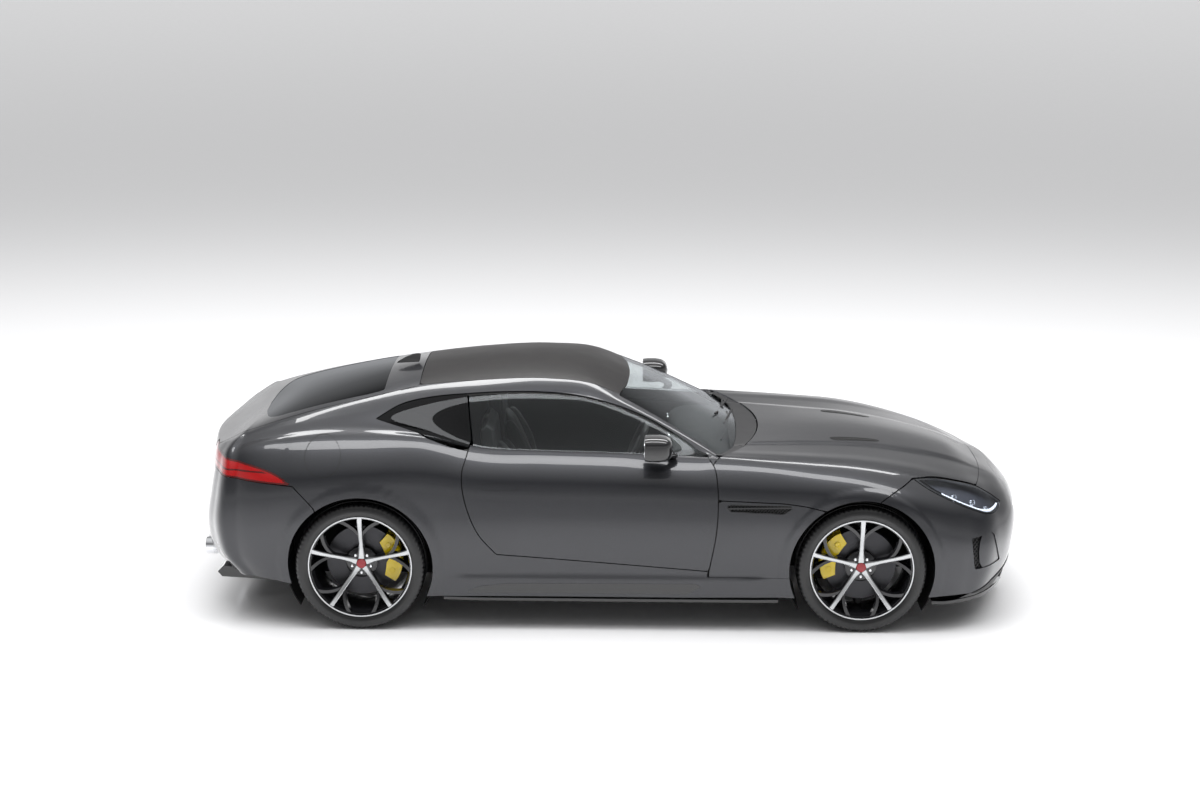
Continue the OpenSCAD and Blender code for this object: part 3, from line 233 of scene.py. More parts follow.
WINDSHIELD = spline([(680, 0), (668, 300), (636, 540), (575, 688)])[:-1] + spline(
    [(575, 688), (450, 640), (250, 572), (36, 496)])[:-1] + spline([(36, 496), (78, 260), (95, 0)])
SIDE_VENT = [(590, 696), (620, 656), (900, 648), (950, 684), (930, 694)]
INTAKE = [(1885, 505), (2010, 522), (2062, 345), (1908, 332)]
MOUTH = [(-430, 580), (-370, 270), (370, 270), (430, 580)]


def distance(points, a, b):
    """Signed distance (mm) of 2-D points inside an outline, positive inside."""
    p = np.array(points, float)
    q = np.roll(p, -1, 0)
    d = np.full(a.shape, 1e9)
    inside = np.zeros(a.shape, bool)
    for (x0, y0), (x1, y1) in zip(p, q):
        ex, ey = x1 - x0, y1 - y0
        if ex * ex + ey * ey < 1e-9:
            continue
        s = np.clip(((a - x0) * ex + (b - y0) * ey) / (ex * ex + ey * ey), 0, 1)
        d = np.minimum(d, np.hypot(a - x0 - s * ex, b - y0 - s * ey))
        if y0 != y1:
            inside ^= ((y0 > b) != (y1 > b)) & (a < (x1 - x0) * (b - y0) / (y1 - y0) + x0)
    return np.where(inside, d, -d)


# A test gives each point's distance (mm) inside what it keeps; margin widens what is kept.
def in_side(points, margin=0):
    return lambda v: distance(points, v[:, 0], v[:, 2]) + margin


def out_side(points, margin=0):
    return lambda v: -distance(points, v[:, 0], v[:, 2]) - margin


def in_plan(half, margin=0):
    full = list(half) + [(x, -y) for x, y in reversed(half)]
    return lambda v: distance(full, v[:, 0], v[:, 1]) + margin


def out_plan(half, margin=0):
    inside = in_plan(half, margin)
    return lambda v: -inside(v)


def disc(x, r, margin=0):
    """Inside a circle of radius r in top view, whose foremost point is at x."""
    return lambda v: r + margin - np.hypot(v[:, 0] - x + r, v[:, 1])


def bonnet_room(margin):
    """Where the bonnet lies: above its lower line, between its round front and rear edges."""
    low, front, rear = in_side(BONNET, margin), disc(2014, 2250, margin), disc(801, 1367, -margin)
    return lambda v: np.minimum(np.minimum(low(v), front(v)), -rear(v))


def flipped(test):
    return lambda v: -test(v)


def out_arch(x, r=ARCH_R):
    return lambda v: np.hypot(v[:, 0] - x, v[:, 2] - WHEEL_R) - r


def tail_room(margin=0):
    """Where the tail lights lie."""
    side = in_side(TAIL_LIGHT, margin)
    return lambda v: np.minimum(side(v), np.abs(v[:, 1]) - 400 + margin)


def mouth(v):
    return np.minimum(distance(MOUTH, v[:, 1], v[:, 2]), v[:, 0] - 1900)


def intakes(v):
    return np.minimum(distance(INTAKE, v[:, 0], v[:, 2]), np.abs(v[:, 1]) - 575)


GAP = 2.6  # half of a shut line as drawn


# ---------------------------------------------------------------- meshes
def clip(v, f, s):
    """Keeps the part of a triangle mesh where s is positive, cut along s = 0."""
    keep = s > 0
    k = keep[f].sum(1)
    whole = f[k == 3]
    some = f[(k == 1) | (k == 2)]
    if not len(some):
        return v, whole
    one = keep[some].sum(1) == 1
    lone = np.where(one[:, None], keep[some], ~keep[some]).argmax(1)
    rows = np.arange(len(some))
    a, b, c = (some[rows, (lone + d) % 3] for d in range(3))
    edges = np.concatenate([np.stack([a, b], 1), np.stack([a, c], 1)])
    uniq, index = np.unique(np.sort(edges, 1), axis=0, return_inverse=True)
    index = index.reshape(-1)
    w = s[uniq[:, 0]] / (s[uniq[:, 0]] - s[uniq[:, 1]])
    new = v[uniq[:, 0]] + (v[uniq[:, 1]] - v[uniq[:, 0]]) * w[:, None]
    ab, ac = index[:len(a)] + len(v), index[len(a):] + len(v)
    parts = [whole, np.stack([a, ab, ac], 1)[one], np.stack([b, c, ac], 1)[~one],
             np.stack([b, ac, ab], 1)[~one]]
    return np.concatenate([v, new]), np.concatenate(parts)


def grid_faces(nu, nv):
    """Two triangles for each cell of a grid of nu by nv points."""
    i = (np.arange(nu - 1)[:, None] * nv + np.arange(nv - 1)[None]).reshape(-1)
    return np.concatenate([np.stack([i, i + 1, i + nv + 1], 1), np.stack([i, i + nv + 1, i + nv], 1)])


def ring_faces(rings, n, closed=False):
    """Triangles between rings of n points; closed joins the last ring to the first."""
    f = []
    for i in range(rings if closed else rings - 1):
        a, b = i * n, (i + 1) % rings * n
        for j in range(n):
            k = (j + 1) % n
            f += [(a + j, a + k, b + k), (a + j, b + k, b + j)]
    return f


def compact(v, f):
    """Drops the points that no face uses."""
    used, g = np.unique(f.reshape(-1), return_inverse=True)
    return v[used], g.reshape(-1, 3)


def mesh_object(name, v, f, mat, smooth=True):
    me = bpy.data.meshes.new(name)
    me.from_pydata([tuple(p) for p in v], [], [tuple(int(i) for i in q) for q in f])
    me.validate()
    me.polygons.foreach_set("use_smooth", [smooth] * len(me.polygons))
    me.materials.append(mat)
    o = bpy.data.objects.new(name, me)
    bpy.context.scene.collection.objects.link(o)
    return o


def weld(v, f, tol=0.02):
    """Joins points closer than tol (mm)."""
    key = np.round(v / tol).astype(np.int64)
    _, first, inv = np.unique(key, axis=0, return_index=True, return_inverse=True)
    f = inv.reshape(-1)[f]
    ok = (f[:, 0] != f[:, 1]) & (f[:, 1] != f[:, 2]) & (f[:, 2] != f[:, 0])
    return v[first], f[ok]


def boundary(f):
    """Edges that only one triangle has."""
    e = np.concatenate([f[:, [0, 1]], f[:, [1, 2]], f[:, [2, 0]]])
    key = np.sort(e, 1)
    _, inv, count = np.unique(key, axis=0, return_inverse=True, return_counts=True)
    return e[count[inv.reshape(-1)] == 1]


def inward(v):
    """Unit directions towards the car's core line."""
    core = np.stack([np.clip(v[:, 0], -1500, 1550), 0 * v[:, 0], 0 * v[:, 0] + 600], 1)
    d = core - v
    return d / np.linalg.norm(d, axis=1, keepdims=True)


def sheet_mesh(rows, us, vs, tests, depth=0.0, rise=True):
    """Cut outer sheet (mm) of a panel."""
    g = surface(rows, us, vs)
    n = outward(g)
    g = g + n * (relief(g)[..., None] if rise else 0) - n * depth
    v = g.reshape(-1, 3)
    f = grid_faces(*g.shape[:2])
    a, b, c = v[f[:, 0]], v[f[:, 1]], v[f[:, 2]]
    mid = (a + b + c) / 3
    flip = np.sum(np.cross(b - a, c - a) * inward(mid), 1) > 0
    f[flip] = f[flip][:, ::-1]
    for test in tests:
        v, f = compact(*clip(v, f, test(v)))
    return weld(v, f)


def panel(name, body, rows, us, vs, tests, mat, replaces=(), depth=0.0, thick=14.0, side=0,
          rise=True):
    """A body panel: outer sheet, edges turned inwards, and an inner sheet."""
    v, f = sheet_mesh(rows, us, vs, tests, depth, rise)
    if side < 0:
        v, f = v * FLIP, f[:, ::-1]
    return thicken(name, body, v, f, mat, thick, replaces)


def thicken(name, body, v, f, mat, thick, replaces=()):
    """Gives a sheet an inner face and turned-in edges."""
    edge = boundary(f)
    back = v + inward(v) * thick
    n = len(v)
    rim = np.unique(edge)
    at = np.full(n, -1)
    at[rim] = np.arange(len(rim))
    soft = v[rim] + inward(v[rim]) * 1.2
    e = at[edge]
    m = len(rim)
    base = 2 * n
    skirt_v = np.concatenate([v[rim], soft, back[rim]])
    skirt = []
    for k in (0, 1):
        skirt += [np.stack([e[:, 1] + k * m, e[:, 0] + k * m, e[:, 0] + k * m + m], 1),
                  np.stack([e[:, 1] + k * m, e[:, 0] + k * m + m, e[:, 1] + k * m + m], 1)]
    faces = np.concatenate([f, f[:, ::-1] + n] + [s + base for s in skirt])
    o = mesh_object(name, np.concatenate([v, back, skirt_v]) / 1000, faces, mat)
    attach(o, body)
    if replaces:
        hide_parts(*([replaces] if isinstance(replaces, str) else replaces))
    return o


def steps(a, b, size):
    return np.linspace(a, b, max(2, int(abs(b - a) / size) + 1))


# ---------------------------------------------------------------- materials
def node(tree, kind, **values):
    """A new shader node with its inputs' values, an underscore standing for a space."""
    made = tree.nodes.new(f"ShaderNode{kind}")
    for key, value in values.items():
        made.inputs[key.replace("_", " ")].default_value = value
    return made


def link(tree, *chain):
    """Links made from groups of four: node, output, node, input."""
    for i in range(0, len(chain), 4):
        source, out, target, into = chain[i:i + 4]
        tree.links.new(source.outputs[out], target.inputs[into])


def material(name, color, metallic=0.0, rough=0.5, coat=0.0, coat_rough=0.03, glow=None,
             power=0.0, grain=None, sheen=0.0, flakes=0.0, shine=0.5):
    """Surface whose roughness wanders by 15%; flakes and grain are optional fine patterns."""
    m = bpy.data.materials.new(name)
    m.use_nodes = True
    t = m.node_tree
    b = t.nodes["Principled BSDF"]
    for socket, value in (("Base Color", (*color, 1)), ("Metallic", metallic), ("Coat Weight", coat),
                          ("Coat Roughness", coat_rough), ("Sheen Weight", sheen),
                          ("Specular IOR Level", shine)):
        b.inputs[socket].default_value = value
    if glow:
        b.inputs["Emission Color"].default_value = (*glow, 1)
        b.inputs["Emission Strength"].default_value = power
    place = node(t, "TexCoord")
    wear = node(t, "TexNoise", Scale=7, Detail=6)
    span = node(t, "MapRange", To_Min=rough * 0.85, To_Max=min(1, rough * 1.15))
    link(t, place, "Object", wear, "Vector", wear, "Fac", span, "Value", span, "Result", b, "Roughness")
    if flakes:
        # metal flakes: cells of slightly different brightness under the clear coat
        cells = node(t, "TexVoronoi", Scale=1400)
        mix = node(t, "MixRGB")
        mix.inputs[1].default_value = (*[c * (1 - flakes) for c in color], 1)
        mix.inputs[2].default_value = (*[c * (1 + flakes) for c in color], 1)
        link(t, place, "Object", cells, "Vector", cells, "Color", mix, 0, mix, 0, b, "Base Color")
    if grain:
        scale, strength = grain
        noise = node(t, "TexNoise", Scale=scale, Detail=4)
        bump = node(t, "Bump", Strength=strength, Distance=0.001)
        link(t, place, "Object", noise, "Vector", noise, "Fac", bump, "Height",
             bump, "Normal", b, "Normal")
    return m


def glass(name, tint, gloss=0.0):
    """Thin tinted glass: light passes straight through, and its skin reflects."""
    m = bpy.data.materials.new(name)
    m.use_nodes = True
    t = m.node_tree
    t.nodes.remove(t.nodes["Principled BSDF"])
    clear = node(t, "BsdfTransparent", Color=(*tint, 1))
    skin = node(t, "BsdfGlossy", Roughness=0.01, Color=(0.9, 0.92, 0.95, 1))
    facing = node(t, "LayerWeight", Blend=0.5)
    steep, edge = node(t, "Math"), node(t, "Math")
    steep.operation, edge.operation = "POWER", "MULTIPLY_ADD"
    steep.inputs[1].default_value = 4.5
    edge.inputs[1].default_value = 0.7
    edge.inputs[2].default_value = 0.022 + gloss
    mix = node(t, "MixShader")
    link(t, facing, "Facing", steep, 0, steep, 0, edge, 0, edge, 0, mix, 0, clear, 0, mix, 1,
         skin, 0, mix, 2, mix, 0, t.nodes["Material Output"], "Surface")
    return m


PAINT = material("paint", (0.029, 0.030, 0.035), 0.65, 0.34, 1.0, 0.02, flakes=0.35)
ROOF_BLACK = material("roof_black", (0.006, 0.005, 0.005), 0.0, 0.4, 0.04, 0.12, shine=0.3)
GLOSS_BLACK = material("gloss_black", (0.008, 0.008, 0.009), 0.0, 0.12, 0.8)
BLACK = material("black_trim", (0.012, 0.012, 0.013), 0.0, 0.45)
SEAL = material("rubber_seal", (0.008, 0.008, 0.008), 0.0, 0.7)
TINT = glass("tinted_glass", (0.86, 0.88, 0.88))
DARK_TINT = glass("dark_glass", (0.11, 0.12, 0.12))
LENS = glass("lamp_lens", (0.85, 0.87, 0.9))
CHROME = material("chrome", (0.75, 0.76, 0.78), 1.0, 0.08)
BRIGHT = material("machined_metal", (0.56, 0.57, 0.58), 1.0, 0.26, 0.3)
WHEEL_BLACK = material("wheel_black", (0.012, 0.012, 0.014), 0.2, 0.2, 0.8)
TYRE = material("tyre_rubber", (0.009, 0.009, 0.0095), 0.0, 0.36, 0.25, 0.15, grain=(900, 0.1))
IRON = material("brake_iron", (0.06, 0.06, 0.064), 1.0, 0.4)
YELLOW = material("caliper_yellow", (0.90, 0.66, 0.0), 0.0, 0.25, 0.6)
RED = material("cap_red", (0.30, 0.004, 0.012), 0.3, 0.25, 0.8)
LAMP_RED = material("tail_red", (0.30, 0.002, 0.003), 0.0, 0.12, 1.0, glow=(0.7, 0.003, 0.003),
                    power=0.07)
LAMP_DARK = material("tail_dark", (0.08, 0.003, 0.003), 0.0, 0.1, 1.0)
LIGHT = material("light_guide", (0.9, 0.92, 0.95), 0.0, 0.3, glow=(0.9, 0.93, 1.0), power=0.9)
LAMP_INSIDE = material("lamp_inside", (0.16, 0.16, 0.18), 0.7, 0.4)
LEATHER = material("leather", (0.035, 0.034, 0.034), 0.0, 0.42, grain=(420, 0.35), sheen=0.05)
TRIM = material("cabin_trim", (0.03, 0.03, 0.031), 0.0, 0.62, grain=(600, 0.25))
CARPET = material("carpet", (0.014, 0.014, 0.015), 0.0, 0.95, grain=(1500, 0.6), sheen=0.2)
UNDER = material("underbody", (0.025, 0.025, 0.026), 0.0, 0.65)
CAST = material("castings", (0.07, 0.07, 0.072), 0.8, 0.55)
STEEL = material("exhaust_steel", (0.09, 0.085, 0.08), 1.0, 0.45)
PLATE = material("blank_plate", (0.7, 0.7, 0.68), 0.0, 0.4)
MIRROR = material("mirror_glass", (0.8, 0.82, 0.85), 1.0, 0.02)
MESH_BLACK = material("grille_black", (0.012, 0.012, 0.013), 0.0, 0.3, 0.3)
# near-black sheets behind openings, on the bonnet vents and inside the wheel arches: painted shade for
# the depth there
SHADE_BLACK = material("painted_shade_black", (0.004, 0.004, 0.004), 0.0, 0.8)

for name, mat in (("floor_pan", UNDER), ("front_subframe", UNDER), ("rear_subframe", UNDER),
                  ("engine_block", CAST), ("exhaust", STEEL), ("knuckle_left", CAST),
                  ("knuckle_right", CAST), ("lower_trim", BLACK)):
    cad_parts[name].data.materials.clear()
    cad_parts[name].data.materials.append(mat)

# ---------------------------------------------------------------- painted body
FINE = 15.0  # mm between stations of a panel
LINE = 1 / 11  # step between lines of a panel
ALL_ROUND = np.arange(0, 16.01, 1 / 12)  # lines of the whole girth
PIPE_Y, PIPE_Z, PIPE_ROOM = (-500, -400, 400, 500), 320, 54  # tailpipes, and their holes' radius


def above(z):
    return lambda v: v[:, 2] - z


def band(points, width, inner):
    """Ring that reaches width outside an outline and inner inside it, in side view."""
    return lambda v: np.minimum(width + distance(points, v[:, 0], v[:, 2]),
                                inner - distance(points, v[:, 0], v[:, 2]))


off_bonnet = flipped(bonnet_room(GAP))
body_tests = [out_side(DOOR_OPENING, GAP), out_side(WINDOW), out_side(AHEAD_OF_DOOR, GAP),
              off_bonnet, out_side(BELOW_TAIL, GAP), out_plan(HATCH, GAP),
              out_plan(ROOF, 2), out_plan(WINDSHIELD, 1), flipped(tail_room(0.5)),
              out_arch(-AXLE), out_arch(AXLE)]
FENDER = [(508, 270), (1200, 270), (1200, 600)] + WING_LINE[::-1] + DOOR_FRONT[20:]
for s, word in SIDES:
    panel(f"body_side_{word}", "body", REAR, steps(-2200, 980, FINE), np.arange(0, 7.45, LINE),
          body_tests, PAINT, "body_sides", side=s)
    panel(f"fender_{word}", "body", FRONT, steps(500, 1120, FINE), np.arange(0.4, 3.3, LINE),
          [in_side(FENDER, -GAP), above(299), out_arch(AXLE), out_side(SIDE_VENT)], PAINT,
          "front_fenders", side=s)
    # black seals that close the gap round the door and the glass
    panel(f"door_seal_{word}", "body", REAR, steps(-820, 600, 14), np.arange(0.3, 5.0, 0.1),
          [band(DOOR_OPENING, 22, 14), lambda v: 940 - v[:, 2]], SEAL, side=s, depth=16, thick=6,
          rise=False)
    panel(f"window_seal_{word}", "body", REAR, steps(-1290, 560, FINE), np.arange(4.3, 6.6, 0.05),
          [band(WINDOW, 3, 13), out_side(DOOR, 6)], SEAL, side=s, depth=8, thick=5, rise=False)
    panel(f"quarter_glass_{word}", "body", REAR, steps(-1290, -700, FINE),
          np.arange(4.3, 6.5, 0.05), [in_side(WINDOW, -0.5), in_side(BEHIND_DIVIDER, -3),
                                      out_side(DOOR, 4)],
          DARK_TINT, "quarter_windows", depth=4, thick=4, side=s, rise=False)
    panel(f"tail_light_{word}", "body", REAR, steps(-2230, -1640, 8), np.arange(2.4, 6, LINE),
          [tail_room(-0.3)], LAMP_RED, "tail_lights", side=s, depth=1, thick=20)
bonnet_v = np.arange(2.1, 13.91, LINE)
panel("bonnet_skin", "bonnet", FRONT, np.concatenate([steps(500, 2100, FINE), steps(2110, NOSE, 9)]),
      bonnet_v, [bonnet_room(-GAP), out_arch(AXLE)], PAINT, "bonnet")
panel("front_bumper_skin", "body", FRONT,
      np.concatenate([steps(1370, 2100, FINE), steps(2108, NOSE, 6)]), ALL_ROUND,
      [off_bonnet, out_side(HEADLIGHT, 1), out_arch(AXLE), flipped(mouth),
       flipped(intakes)], PAINT, "front_bumper")
panel("hatch_skin", "hatch", REAR, np.concatenate([steps(TAIL, -2100, 6), steps(-2090, -1010, FINE)]),
      np.arange(3, 13.01, LINE), [in_plan(HATCH, -GAP), above(799), out_plan(HATCH_GLASS),
                                 flipped(tail_room(4))], PAINT, "hatch")
panel("rear_glass_sheet", "hatch", REAR, steps(-2060, -1200, FINE), np.arange(6.4, 9.61, LINE),
      [in_plan(HATCH_GLASS, -0.5)], DARK_TINT, "rear_glass", depth=2, thick=4)


def off_pipes(a, b):
    """Distances from the tailpipes' holes, seen from behind."""
    return np.minimum.reduce([np.hypot(a - y, b - PIPE_Z) - PIPE_ROOM for y in PIPE_Y])


def pipes_clear(v):
    return np.where(v[:, 0] < -1900, off_pipes(v[:, 1], v[:, 2]), 1e9)


panel("rear_bumper_skin", "body", REAR,
      np.concatenate([steps(TAIL, -2100, 6), steps(-2090, -1540, FINE)]), ALL_ROUND,
      [in_side(BELOW_TAIL, -GAP), out_arch(-AXLE), above(232), pipes_clear], PAINT, "rear_bumper")
panel("roof_skin", "body", REAR, steps(-1060, 110, FINE), np.arange(6.6, 9.41, LINE),
      [in_plan(ROOF, -2)], ROOF_BLACK, "roof_panel")
panel("windshield_sheet", "body", REAR, steps(20, 700, FINE), np.arange(6.4, 9.61, LINE),
      [in_plan(WINDSHIELD, -1)], TINT, "windshield", depth=2, thick=5)

for s, word in SIDES:
    body = f"{word}_door"
    panel(f"door_skin_{word}", body, REAR, steps(-800, 570, 13), np.arange(0.5, 5.01, LINE),
          [in_side(DOOR, -GAP)], PAINT, f"door_{word}", side=s, thick=18)
    panel(f"door_lining_{word}", body, REAR, steps(-800, 570, 24), np.arange(0.5, 4.86, 0.12),
          [in_side(DOOR, -34)], TRIM, side=s, depth=76, thick=4, rise=False)
    panel(f"door_glass_sheet_{word}", body, REAR, steps(-800, 570, FINE), np.arange(5.005, 6.2, 0.06),
          [in_side(WINDOW, -5.5), in_side(AHEAD_OF_DIVIDER, -6)], TINT, f"door_glass_{word}",
          side=s, depth=8, thick=4, rise=False)


# ---------------------------------------------------------------- solid helpers
def lathe(profile, n=96, start=0.0, end=2 * PI):
    """Vertices and faces of a profile of (radius, height) mm turned about +Z."""
    closed = abs(end - start - 2 * PI) < 1e-6
    p = np.array(profile, float)
    a = np.linspace(start, end, n + 1)[:n if closed else n + 1]
    v = np.stack([np.outer(np.cos(a), p[:, 0]), np.outer(np.sin(a), p[:, 0]),
                  np.tile(p[:, 1], (len(a), 1))], -1)
    return v.reshape(-1, 3), np.array(ring_faces(len(a), len(p), closed))[:, ::-1]


def extrude(outline, z0, z1):
    """Prism of a 2-D outline between two heights; z1 may be a list, one per point."""
    p = np.array(outline, float)
    n = len(p)
    za, zb = np.broadcast_to(z0, n), np.broadcast_to(z1, n)
    v = np.concatenate([np.column_stack([p, za]), np.column_stack([p, zb])])
    cap = np.array(tessellate_polygon([[Vector((x, y, 0)) for x, y in p]]))
    area = np.sum(p[:, 0] * np.roll(p[:, 1], -1) - p[:, 1] * np.roll(p[:, 0], -1))
    x = p[cap]
    sign = np.sum(np.cross(x[:, 1] - x[:, 0], x[:, 2] - x[:, 0]))
    if sign < 0:
        cap = cap[:, ::-1]
    i = np.arange(n)
    j = (i + 1) % n
    side = np.concatenate([np.stack([i, j, j + n], 1), np.stack([i, j + n, i + n], 1)])
    if area < 0:
        side = side[:, ::-1]
    return v, np.concatenate([cap[:, ::-1], cap + n, side])


def join(parts):
    """One part from several."""
    vs, fs, n = [], [], 0
    for v, f in parts:
        vs.append(v)
        fs.append(np.asarray(f) + n)
        n += len(v)
    return np.concatenate(vs), np.concatenate(fs)


def turned(part, a):
    """A part turned by a about +Z."""
    v, f = part
    c, s = math.cos(a), math.sin(a)
    return v @ np.array([[c, s, 0], [-s, c, 0], [0, 0, 1]]), f


def solid(name, part, mat, body, place=None, replaces=None, smooth=None, bevel=0):
    """An object from a part in mm, put in place by a matrix whose units are metres."""
    v, f = part
    o = mesh_object(name, v / 1000, f, mat, smooth=False)
    if place is not None:
        o.data.transform(place)
        if place.to_3x3().determinant() < 0:
            o.data.flip_normals()
    if bevel:
        m = o.modifiers.new("edge", "BEVEL")
        m.width, m.segments, m.limit_method, m.angle_limit = bevel / 1000, 2, "ANGLE", 0.6
    if smooth:
        bpy.context.view_layer.objects.active = o
        for p in o.data.polygons:
            p.use_smooth = True
        o.data.set_sharp_from_angle(angle=math.radians(smooth))
    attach(o, body)
    if replaces:
        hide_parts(replaces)
    return o


def move(x, y, z):
    return Matrix.Translation((x / 1000, y / 1000, z / 1000))


def box_part(x0, x1, y0, y1, z0, z1):
    return extrude([(x0, y0), (x1, y0), (x1, y1), (x0, y1)], z0, z1)


def tube(points, r, n=12):
    """Round bar of radius r through points (mm)."""
    p = np.array(points, float)
    d = np.gradient(p, axis=0)
    d /= np.linalg.norm(d, axis=1, keepdims=True)
    up = np.array((0, 0, 1.0)) if abs(d[0, 2]) < 0.9 else np.array((1.0, 0, 0))
    rings = []
    for q, t in zip(p, d):
        a = np.cross(t, up)
        a /= np.linalg.norm(a)
        b = np.cross(t, a)
        k = np.arange(n) * 2 * PI / n
        rings.append(q + r * (np.cos(k)[:, None] * a + np.sin(k)[:, None] * b))
    v = np.concatenate(rings + [p[:1], p[-1:]])
    f = ring_faces(len(p), n)
    e = len(p) * n
    for j in range(n):
        k = (j + 1) % n
        f += [(e, k, j), (e + 1, e - n + j, e - n + k)]
    return v, np.array(f)


# ---------------------------------------------------------------- wheels and brakes
def tyre_part(w):
    """Low-profile tyre of width w with four grooves round it."""
    r, rim = WHEEL_R, 272.5
    h = w / 2
    side = [(rim - 12, h - 24), (rim + 1, h - 15.5), (rim + 4, h - 9), (rim + 10, h - 6),
            (rim + 16, h - 2.5), (rim + 22, h - 1.5), (rim + 26, h - 0.5), (rim + 32, h - 1.5),
            (r - 24, h - 4), (r - 14, h - 9), (r - 6, h - 18), (r - 2.2, h - 30), (r - 0.8, h - 42)]
    grooves = []
    for y in (0.27, 0.09, -0.09, -0.27):
        c = y * w
        grooves += [(r - 0.2, c + 6.5), (r - 6.5, c + 4.5), (r - 6.5, c - 4.5), (r - 0.2, c - 6.5)]
    prof = (side + grooves + [(a, -b) for a, b in reversed(side)]
            + [(rim - 13, -h + 40), (rim - 13, h - 40)])
    v, f = lathe(prof, 240)
    # lateral sipes across the shoulders
    ang = np.arctan2(v[:, 1], v[:, 0])
    rad = np.hypot(v[:, 0], v[:, 1])
    at = np.round(ang / (2 * PI) * 240).astype(int)
    shoulder = (np.abs(v[:, 2]) > h - 46) & (rad > r - 15)
    dip = np.where(shoulder & (at % 3 == 0), 5.0, 0.0)
    v[:, :2] *= ((rad - dip) / rad)[:, None]
    return v, f[:, ::-1]


def barrel_part(w):
    """Rim that the tyre sits on."""
    e = w / 2 - 8
    return lathe([(248, -e), (272, -e), (272, -e + 8), (258.5, -e + 14), (250, -20), (257, e - 30),
                  (258.5, e - 14), (271, e - 8), (271.5, e - 1), (266, e - 1), (262, e - 12),
                  (250, e - 44), (243, -10), (245, -e + 10)], 144)


def lip_part(w):
    """Bright ring at the rim's outer edge."""
    e = w / 2 - 8
    return lathe([(264.5, e - 3), (265.5, e - 0.4), (272.3, e - 0.2), (272.5, e - 6), (266, e - 8)], 144)


def face_z(r, w):
    """Height of the spokes' outer face."""
    e = w / 2 - 8
    return 68 + (e - 74) * ease((r - 40) / 225)


def bar(points, width, w, drop=0.0, thick=30.0, base=None):
    """A spoke along 2-D points with widths, its face following the wheel's dish."""
    p = np.array(points, float)
    d = np.gradient(p, axis=0)
    d /= np.linalg.norm(d, axis=1, keepdims=True)
    n = np.stack([-d[:, 1], d[:, 0]], 1)
    wd = np.array(width, float)[:, None] / 2
    top = face_z(np.hypot(p[:, 0], p[:, 1]), w) - drop
    low = top - thick
    v, f = [], []
    for k, q in enumerate(p):
        a, b = q + n[k] * wd[k], q - n[k] * wd[k]
        a2, b2 = q + n[k] * (wd[k] + 4), q - n[k] * (wd[k] + 4)
        v += [(*a, top[k]), (*b, top[k]), (*b2, low[k]), (*a2, low[k])]
    for k in range(len(p) - 1):
        o = 4 * k
        for i in range(4):
            j = (i + 1) % 4
            f += [(o + i, o + j, o + 4 + j), (o + i, o + 4 + j, o + 4 + i)]
    e = 4 * (len(p) - 1)
    f += [(0, 3, 2), (0, 2, 1), (e, e + 1, e + 2), (e, e + 2, e + 3)]
    return np.array(v), np.array(f)[:, ::-1]


def spoke_parts(w):
    """Five forked spokes: bright faces, and black bodies with side branches."""
    bright, black = [], []
    r = np.array([26, 40, 56, 80, 110, 145, 180, 215, 250, 264.5])
    width = [24, 20, 16, 13.5, 12.5, 12.5, 13, 14, 16, 18]
    line = np.column_stack([r, 0 * r])
    face = bar(line, width, w, drop=0, thick=2.5)
    core = bar(line, [q + 7 for q in width], w, drop=2.0, thick=34)
    for i in range(5):
        a = PI / 2 + i * 2 * PI / 5
        bright.append(turned(face, a))
        black.append(turned(core, a))
        for s in (1, -1):
            t = np.linspace(0, 1, 7)
            ang = s * 0.40 * t ** 1.15
            rr = 142 + (264 - 142) * t
            p = np.column_stack([rr * np.cos(ang), rr * np.sin(ang)])
            black.append(turned(bar(p, 13 + 5 * t, w, drop=8, thick=30), a))
            # curved web from the hub into the spoke's root
            q = np.column_stack([(34 + 60 * t), s * (22 - 16 * t ** 0.7)])
            black.append(turned(bar(q, 10 - 2 * t, w, drop=3, thick=30), a))
    return join(bright), join(black)


def hub_part():
    """Middle of the wheel, behind the cap."""
    return lathe([(0.01, 38), (82, 38), (82, 46), (60, 58), (46, 62), (40, 66), (0.01, 66)], 64)


def nuts_part():
    """Five wheel nuts between the spokes."""
    out = []
    for i in range(5):
        a = PI / 2 + (i + 0.5) * 2 * PI / 5
        v, f = lathe([(0.01, 46), (9.5, 46), (9.5, 66), (6, 69), (0.01, 69)], 6)
        out.append((v + np.array((52 * math.cos(a), 52 * math.sin(a), 0)), f))
    return join(out)


def disc_part(d):
    """Vented disc: two plates with vanes between them, and a hat."""
    r, o, t = d / 2, 4.0, 32.0
    parts = [lathe([(112, o - 10), (r, o - 10), (r, o), (112, o)], 128),
             lathe([(112, o - t), (r, o - t), (r, o - t + 10), (112, o - t + 10)], 128),
             lathe([(62, o - 6), (114, o - 6), (114, o + 1), (84, o + 1), (80, 37.5), (62, 37.5)], 96)]
    vane = box_part(116, r - 3, -2.5, 2.5, o - t + 9, o - 9)
    parts += [turned(vane, k * 2 * PI / 36) for k in range(36)]
    return join(parts)


def polar(r, a):
    return r * math.cos(a), r * math.sin(a)


